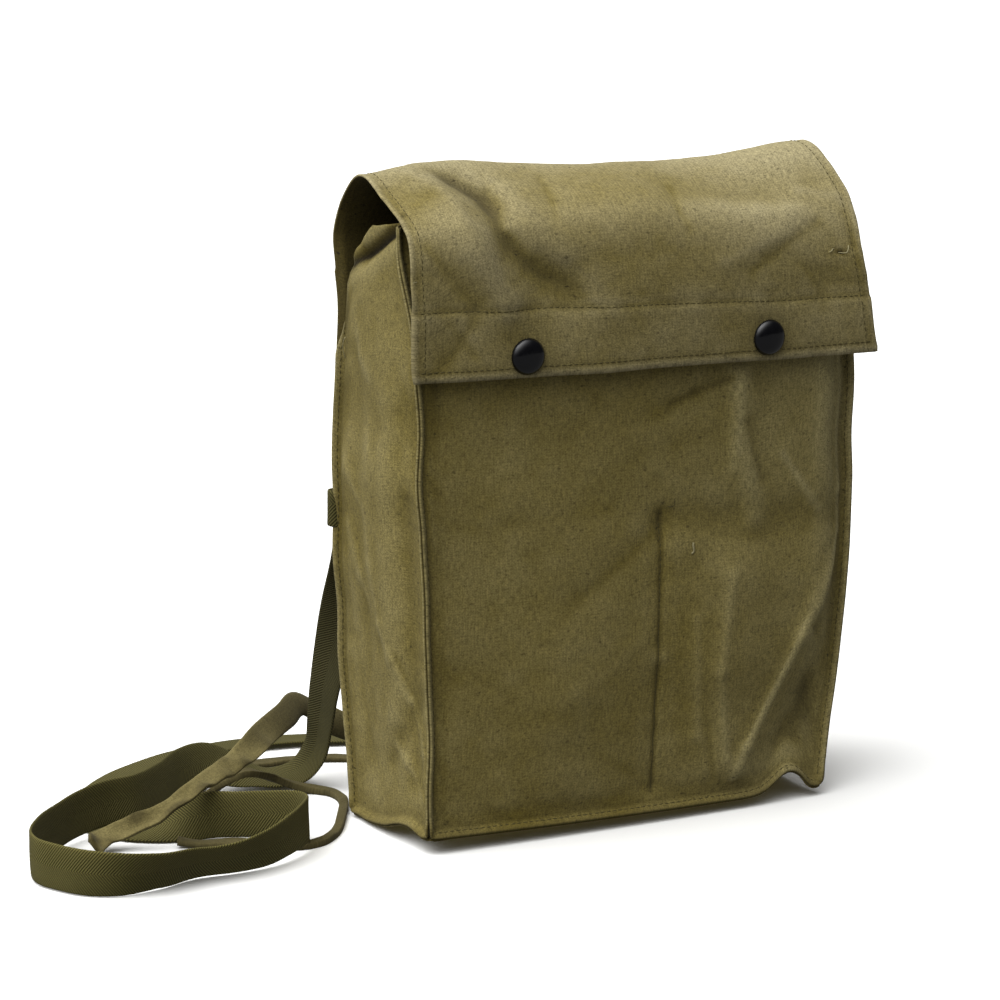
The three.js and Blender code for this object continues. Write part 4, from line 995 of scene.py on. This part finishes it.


# ways of the strap and the ties: x, y, z, then how the width points: turn in plan, lean up, degrees
# along the length from 0 to 1: the dark table is how dark it is painted, from dirt and painted shade, "drawn"
# its share of the full width,
# "crumple" how deep it is crushed in mm; "hollow" is how far it cups, mm
strap = {
    "width": 20, "thick": 1.3, "drawn": ((0, 1), (1, 1)), "hollow": 0.5, "crumple": ((0, 1), (0, 0)),
    # darker on the part hanging behind the bag and on the inner run of the loop: painted shade
    "dirt_and_shade": ((0, 0.1, 0.13, 0.17, 0.28, 0.31, 0.43, 0.46, 0.6, 1),
             (0.65, 0.65, 0.4, 0.35, 0.35, 0, 0, 0.15, 0.3, 0.3)),
    "way": [
        (-101, 38.2, 150, 0, 0), (-101, 38.2, 122, -4, 0), (-99.5, 45.5, 103, -24, 0),
        (-100.5, 52.5, 84, -50, 0), (-101.8, 59.2, 66, -68, 0), (-103.2, 64, 48, -80, 0),
        (-102.8, 69.5, 31, -86, 0), (-103, 75.8, 16, -90, 0), (-108, 83, 6.4, -88, 0),
        (-118, 88, 3.4, -84, -8), (-131, 92, 7, -76, -34), (-146, 93, 12.4, -68, -62),
        (-162, 86, 13, -62, -72), (-178, 71, 13, -60, -76), (-198, 56.5, 13.4, -68, -82),
        (-214, 54, 13.4, -72, -86), (-229, 49, 12, -70, -88), (-244, 38, 11, -70, -88),
        (-258, 24, 11, -70, -88), (-268, 10, 10.6, -70, -88), (-271, -3, 10.6, -70, -88),
        (-268, -14, 10.6, -70, -88), (-260, -28, 10.4, -280, -88), (-248, -36.5, 10.2, -288, -78),
        (-230, -37.5, 9.7, -294, -58), (-211, -32.5, 8.9, -295, -50), (-194, -33, 9.2, -297, -53),
        (-178, -30.5, 10.4, -298, -64), (-165, -24, 12.2, -298, -74), (-154, -15, 13, -298, -84),
        (-147.5, -7, 13, -110, -84), (-148, 1, 12.8, -110, -82), (-157, 10.5, 11.8, -110, -84),
        (-167, 18, 11, -110, -86), (-177.5, 24.5, 10.6, -114, -80), (-188, 30, 8.6, -120, -58),
        (-198, 37, 4.8, -128, -26), (-207, 46, 1.7, -142, -3), (-212, 60, 1.1, -172, 0),
        (-209, 80, 1.1, -200, 0), (-195, 104, 1.1, -222, 0), (-168, 129, 1.4, -236, -2),
        (-130, 147, 2.2, -255, -5), (-88, 149, 2.2, -277, -5), (-36, 132, 1.4, -288, -2),
        (16, 117, 1.1, -283, 0), (60, 105, 1.6, -288, 0), (86, 88, 2.2, -320, 0), (93, 66, 18, -354, 0),
        (93, 50, 56, -360, 0), (92, 41.5, 96, -360, 0), (91, 38.8, 124, -360, 0), (91, 38.8, 150, -360, 0)],
}
tieLeft = {
    # the first part, seen from its shaded side, is painted darker: painted shade
    "width": 12, "thick": 1.6, "dirt_and_shade": ((0, 0.46, 0.58, 1), (0.55, 0.55, 0.05, 0.05)),
    "drawn": ((0, 0.55, 0.66, 0.76, 0.88, 0.95, 1), (1, 1, 0.8, 0.68, 0.74, 0.9, 0.7)), "hollow": 3,
    "crumple": ((0, 0.45, 0.6, 0.8, 1), (0.2, 0.2, 1.2, 1.8, 2)),
    "way": [
        (-44, 38, 42, 90, 90), (-56, 43, 38, 95, 86), (-70, 58, 30, 102, 76), (-83, 75, 24.5, 106, 64),
        (-93, 87, 29, 108, 56), (-104, 86, 36.5, 112, 52), (-118, 73, 35.5, 116, 48),
        (-133.5, 61, 33, 122, 42), (-147, 48.5, 30.5, 128, 36), (-161, 37.5, 28.2, 132, 30),
        (-176, 28, 26.4, 128, 26), (-189, 20.5, 23.6, 116, 26), (-200, 18.5, 18.5, 100, 30),
        (-210, 23, 12.6, 82, 34), (-219, 27.5, 8.6, 84, 34), (-226, 28.5, 6.6, 96, 30),
        (-231.5, 25, 5.6, 108, 30), (-234.5, 19.5, 5.4, 120, 30)],
}
tieRight = {
    "width": 7, "thick": 2, "dirt_and_shade": ((0, 0.88, 1), (0.5, 0.5, 0.5)),
    "drawn": ((0, 0.5, 0.57, 0.86, 0.92, 1), (1, 1, 0.6, 0.6, 0.9, 1)), "hollow": 0.3,
    "crumple": ((0, 1), (0.5, 0.5)),
    "way": [
        (24, 39.4, 30, 80, 88), (4, 46, 26, 70, 60), (-20, 64, 14, 53, 20), (-44, 87, 3.2, 46, 4),
        (-66, 106, 1.5, 49, 0), (-87, 116, 1.3, 70, 0), (-108, 118, 1.3, 96, 0), (-128, 113.5, 1.3, 110, 0),
        (-143, 104, 1.3, 124, 0), (-152, 94, 1.3, 148, 0), (-156, 84, 1.3, 176, 0),
        (-155.5, 75.5, 4, 206, 0), (-150, 68.5, 10.4, 230, 0), (-142, 64, 14.8, 244, 0),
        (-134, 65.5, 12.4, 262, 4), (-126, 69.5, 8.4, 282, 4), (-117, 71, 4.6, 264, 2),
        (-108, 67.5, 2, 233, 0), (-102.5, 60, 1.3, 200, 0), (-102, 51, 1.3, 170, 0),
        (-106, 40.5, 1.3, 154, 0), (-112, 30, 1.3, 150, 0), (-118, 20, 1.3, 148, 0), (-125, 9, 1.3, 144, 0),
        (-133, -0.5, 1.3, 134, 0), (-141.5, -7, 1.3, 113, 0), (-151, -8, 1.3, 80, 0),
        (-160, -3.5, 1.3, 60, 0), (-168, 5.5, 1.3, 50, 0), (-177, 12, 1.3, 62, 0), (-187, 15.5, 1.6, 66, 4),
        (-196, 20, 2.6, 58, 8)],
}
for name, kit, cloth, slot, far in (("shoulder_strap", strap, tape, "herringbone_tape", "object"),
                                    ("waist_tie_left", tieLeft, tieCanvas, "tie_canvas", "bare"),
                                    ("waist_tie_right", tieRight, tieCanvas, "tie_canvas", "bare")):
    spine, ahead, wide, even = followWay(kit["way"], step=2.5)
    share = even / even[-1]
    dirtAndShade, drawn, crumple = (np.interp(share, *kit[mark]) for mark in ("dirt_and_shade", "drawn", "crumple"))
    hollow = kit["hollow"] * ripple(even, 0 * even + 3, 28, len(name))
    piece = ribbon(name + "_tape", spine, wide, ahead, even, kit["width"], kit["thick"], cloth, wave=0.25,
                   paleness=0.35, seed=len(name), dirtAndShade=dirtAndShade, drawn=drawn, hollow=hollow, crumple=crumple)
    fit(piece, slot, name)
    print("bag:", name, round(float(even[-1])), "mm")

# tape loops on the back: folded at the outer end, over the strap, and down again at the inner end
keeper = {"tall": 16, "stand": 5.6, "fold": 2.4, "lap": 8, "z": 135.5, "thick": 1.3,
          "left": (-114, -78), "right": (107, 71)}
for side in ("left", "right"):
    outer, inner = keeper[side]
    way = 1 if inner > outer else -1
    bend = np.linspace(-math.pi / 2, math.pi / 2, 15)
    over = np.linspace(0, 1, 26)[1:]
    x = np.concatenate([outer + way * np.linspace(keeper["lap"], keeper["fold"], 4)[:-1],
                        outer + way * keeper["fold"] * (1 - np.cos(bend)),
                        mix(outer + way * keeper["fold"], inner, over)])
    rise = np.concatenate([0 * bend[:3], (1 + np.sin(bend)) / 2, 1 - smooth(0.7, 1, over)])
    z = 0 * x + keeper["z"]
    y = backPoint(np.clip(acrossBag(x, z), 0, 1), z)[:, 1] + bag["cloth"] + bag["gap"]
    spine = np.stack([x, y + keeper["stand"] * rise, z], -1)
    spine = spine + sway(spine)
    ahead = unit(np.gradient(spine, axis=0))
    wide = np.tile([0.0, 0.0, 1.0], (len(x), 1))
    piece = ribbon("tape_loop_" + side, spine, wide, ahead, wayAlong(spine), keeper["tall"], keeper["thick"],
                   tape, wave=0.2, paleness=0.3, seed=61, dirtAndShade=0.3)
    fit(piece, "herringbone_tape", "strap_keeper_" + side)
print("bag: strap, ties and loops laid")

# stitch lines, each a run of points on the cloth; welts are counted as small steps past a panel
stitchRuns = []
k = np.linspace(0, 1, 140)
onWelt = 0.009


def sew(name, u, v, lift=0.05):
    stitchRuns.append(onPanel(panels[name], u + 0 * k, v + 0 * k, lift))


sew("back", k, 1 + flapAt(mix(*flap["seam"], k)))
sew("back", k, 1 + flapAt(flap["sewing"]["hem"][1]))
for u in (0.004, 0.996):
    sew("back", u, mix(1.12, 1.995, k))
# the divider is sewn twice over, half a stitch apart, so that its thread shows as one line
for foot in (8, 9.45):
    level = mix(foot, front["divider"][1][1], k)
    sew("front", acrossBag(dividerAt(level), level), level / bag["top"], 0.0)
for name, top in (("front", 0.99), ("left", 0.99), ("right", 0.99), ("back", 0.98)):
    for u in (-onWelt, 1 + onWelt):
        sew(name, u, mix(0.01, top, k))
for name in ("front", "back"):
    sew(name, mix(0.01, 0.99, k), -onWelt)


# geometry nodes: even stitches along each run, a small random tilt and length
def stitchTree(name, thread):
    tree = bpy.data.node_groups.new(name, "GeometryNodeTree")
    tree.interface.new_socket("Geometry", in_out="INPUT", socket_type="NodeSocketGeometry")
    for label in ("Spacing", "Long", "Radius"):
        tree.interface.new_socket(label, in_out="INPUT", socket_type="NodeSocketFloat")
    tree.interface.new_socket("Geometry", in_out="OUTPUT", socket_type="NodeSocketGeometry")
    add = nodesOf(tree)
    given = add("NodeGroupInput")
    runs = add("GeometryNodeMeshToCurve", {"Mesh": given.outputs["Geometry"]})
    even = add("GeometryNodeResampleCurve", {"Curve": runs, "Length": given.outputs["Spacing"]},
               mode="LENGTH")
    heading = add("GeometryNodeInputTangent")
    aligned = add("FunctionNodeAlignRotationToVector", {"Vector": heading}, axis="X")
    jitter = add("FunctionNodeRandomValue", {"Min": (-0.05, -0.16, -0.1), "Max": (0.05, 0.16, 0.1),
                                             "Seed": 7}, data_type="FLOAT_VECTOR")
    spin = add("FunctionNodeEulerToRotation", {0: jitter})
    turned = add("FunctionNodeRotateRotation", {"Rotation": aligned, "Rotate By": spin},
                 rotation_space="LOCAL")
    longer = add("FunctionNodeRandomValue", {2: 0.85, 3: 1.1, "Seed": 9}, data_type="FLOAT")
    halfLong = add("Math", {0: given.outputs["Long"], 1: 0.5}, operation="MULTIPLY")
    thisLong = add("Math", {0: halfLong, 1: longer.outputs[1]}, operation="MULTIPLY")
    size = add("CombineXYZ", {"X": thisLong, "Y": given.outputs["Radius"], "Z": given.outputs["Radius"]})
    bead = add("GeometryNodeMeshUVSphere", {"Segments": 6, "Rings": 5, "Radius": 1.0})
    soft = add("GeometryNodeSetShadeSmooth", {"Geometry": bead})
    placed = add("GeometryNodeInstanceOnPoints", {"Points": even, "Instance": soft, "Rotation": turned,
                                                  "Scale": size})
    real = add("GeometryNodeRealizeInstances", {"Geometry": placed})
    dressed = add("GeometryNodeSetMaterial", {"Geometry": real, "Material": thread})
    add("NodeGroupOutput", {"Geometry": dressed})
    return tree


stitch = {"Spacing": 2.9, "Long": 2.3, "Radius": 0.21}  # millimetres
points, edges = [], []
for run in stitchRuns:
    edges += [(len(points) + k, len(points) + k + 1) for k in range(len(run) - 1)]
    points += ((run + middle) * mm).tolist()
guide = bpy.data.meshes.new("stitch_runs")
guide.from_pydata(points, edges, [])
sewn = bpy.data.objects.new("thread_stitches", guide)
bpy.context.scene.collection.objects.link(sewn)
maker = sewn.modifiers.new("stitches", "NODES")
maker.node_group = stitchTree("run_of_stitches", darkThread)
for item in maker.node_group.interface.items_tree:
    if item.in_out == "INPUT" and item.name in stitch:
        maker[item.identifier] = stitch[item.name] * mm
bpy.context.view_layer.update()
sewn.data = bpy.data.meshes.new_from_object(sewn.evaluated_get(bpy.context.evaluated_depsgraph_get()))
sewn.modifiers.clear()
fit(sewn, "canvas")
print("bag:", len(stitchRuns), "stitch runs,", len(sewn.data.polygons), "faces")

# loose thread ends: panel, u, v, which way they lie in u and v (mm), how far they stand off, radius, thread
frays = [
    ("back", 0.962, 1.708, (5.5, -3.5), 1.2, 0.24, paleThread),
    ("back", 0.951, 1.703, (-3.5, 1), 0.8, 0.22, paleThread),
    ("left", 0.985, 0.9, (-5, 2), 1.6, 0.18, paleThread),
    ("front", 0.547, 0.535, (3, 3), 0.8, 0.2, darkThread),
    ("front", 0.592, 0.452, (2.5, 3.5), 0.5, 0.45, paleThread),
    ("back", -0.012, 1.735, (-3, 2), 1.2, 0.16, paleThread),
]
for number, (name, u, v, (du, dv), stand, radius, thread) in enumerate(frays):
    k = np.linspace(0, 1, 12)
    width, height = front["size"]
    if name == "back":
        height = 190  # about the flap's length
    bend = 0.25 * np.sin(k * 4 + number)
    us, vs = u + (du * k - dv * bend) / width, v + (dv * k + du * bend) / height
    on, off = (onPanel(panels[name], us, vs, lift) for lift in (0.0, 1.0))
    spine = on + (off - on) * (0.1 + stand * np.sin(k * 2.6))[:, None]
    ahead = unit(np.gradient(spine, axis=0))
    wide = unit(np.cross(ahead, (0.1, 0.3, 0.9)))
    hair = ribbon("loose_thread_%d" % number, spine, wide, ahead, k * 10, radius * 2, radius * 2, thread,
                  section=roundSection)
    fit(hair, "canvas")
print("bag: frays added")

# each panel's flat cut: width and height with its seam allowance, in metres
cuts = {"front": (0.213, 0.262, "hung"), "left": (0.078, 0.258, "hung"), "right": (0.078, 0.258, "hung"),
        "bottom": (0.203, 0.074, "laid"), "back": (0.217, 0.435, "draped")}
for name, (width, height, held) in cuts.items():
    rests = {"bottom": ["floor"], "back": ["front_panel"]}.get(name, ["back_and_flap"])
    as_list(rests)

# pale seamless floor and one big soft light, high on the left, thinning out into a dim room
studio = {"floor": 9.0, "paper": "#fbfbf9", "key": (-0.43, -0.04, 0.9), "spread": 5.0, "keyStrength": 6.2,
          "roomStrength": 0.06, "lowStrength": 0.26}
half = studio["floor"]
floorMesh = bpy.data.meshes.new("floor")
floorMesh.from_pydata([(-half, -half, 0), (half, -half, 0), (half, half, 0), (-half, half, 0)], [],
                      [(0, 1, 2, 3)])
floorMaterial, add = newMaterial("white_paper")
floorShader = add("BsdfPrincipled", {"Base Color": hexColour(studio["paper"]), "Roughness": 0.9,
                                     "Specular IOR Level": 0.1})
add("OutputMaterial", {0: floorShader})
floorMesh.materials.append(floorMaterial)
floor = bpy.data.objects.new("floor", floorMesh)
floor.visible_diffuse = False  # the low light below stands for what the paper throws back
floor.visible_glossy = False
bpy.context.scene.collection.objects.link(floor)

world = bpy.data.worlds.new("studio")
world.use_nodes = True
world.node_tree.nodes.clear()
add = nodesOf(world.node_tree)
way = add("TexCoord").outputs["Generated"]
toKey = add("VectorMath", {0: way, 1: studio["key"]}, operation="DOT_PRODUCT")
near = add("Math", {0: toKey.outputs["Value"], 1: 0.0}, operation="MAXIMUM")
lobe = add("Math", {0: near, 1: studio["spread"]}, operation="POWER")
above = add("Math", {0: lobe, 1: studio["keyStrength"], 2: studio["roomStrength"]},
            operation="MULTIPLY_ADD")
height = add("SeparateXYZ", {0: way}).outputs["Z"]
overFloor = add("MapRange", {"Value": height, "From Min": -0.02, "From Max": 0.02,
                             "To Min": studio["lowStrength"], "To Max": above})
shine = add("Background", {"Color": (1, 1, 1, 1), "Strength": overFloor})
add("OutputWorld", {0: shine})
bpy.context.scene.world = world
bpy.context.scene.view_settings.view_transform = "Standard"
print("bag: floor and light set")
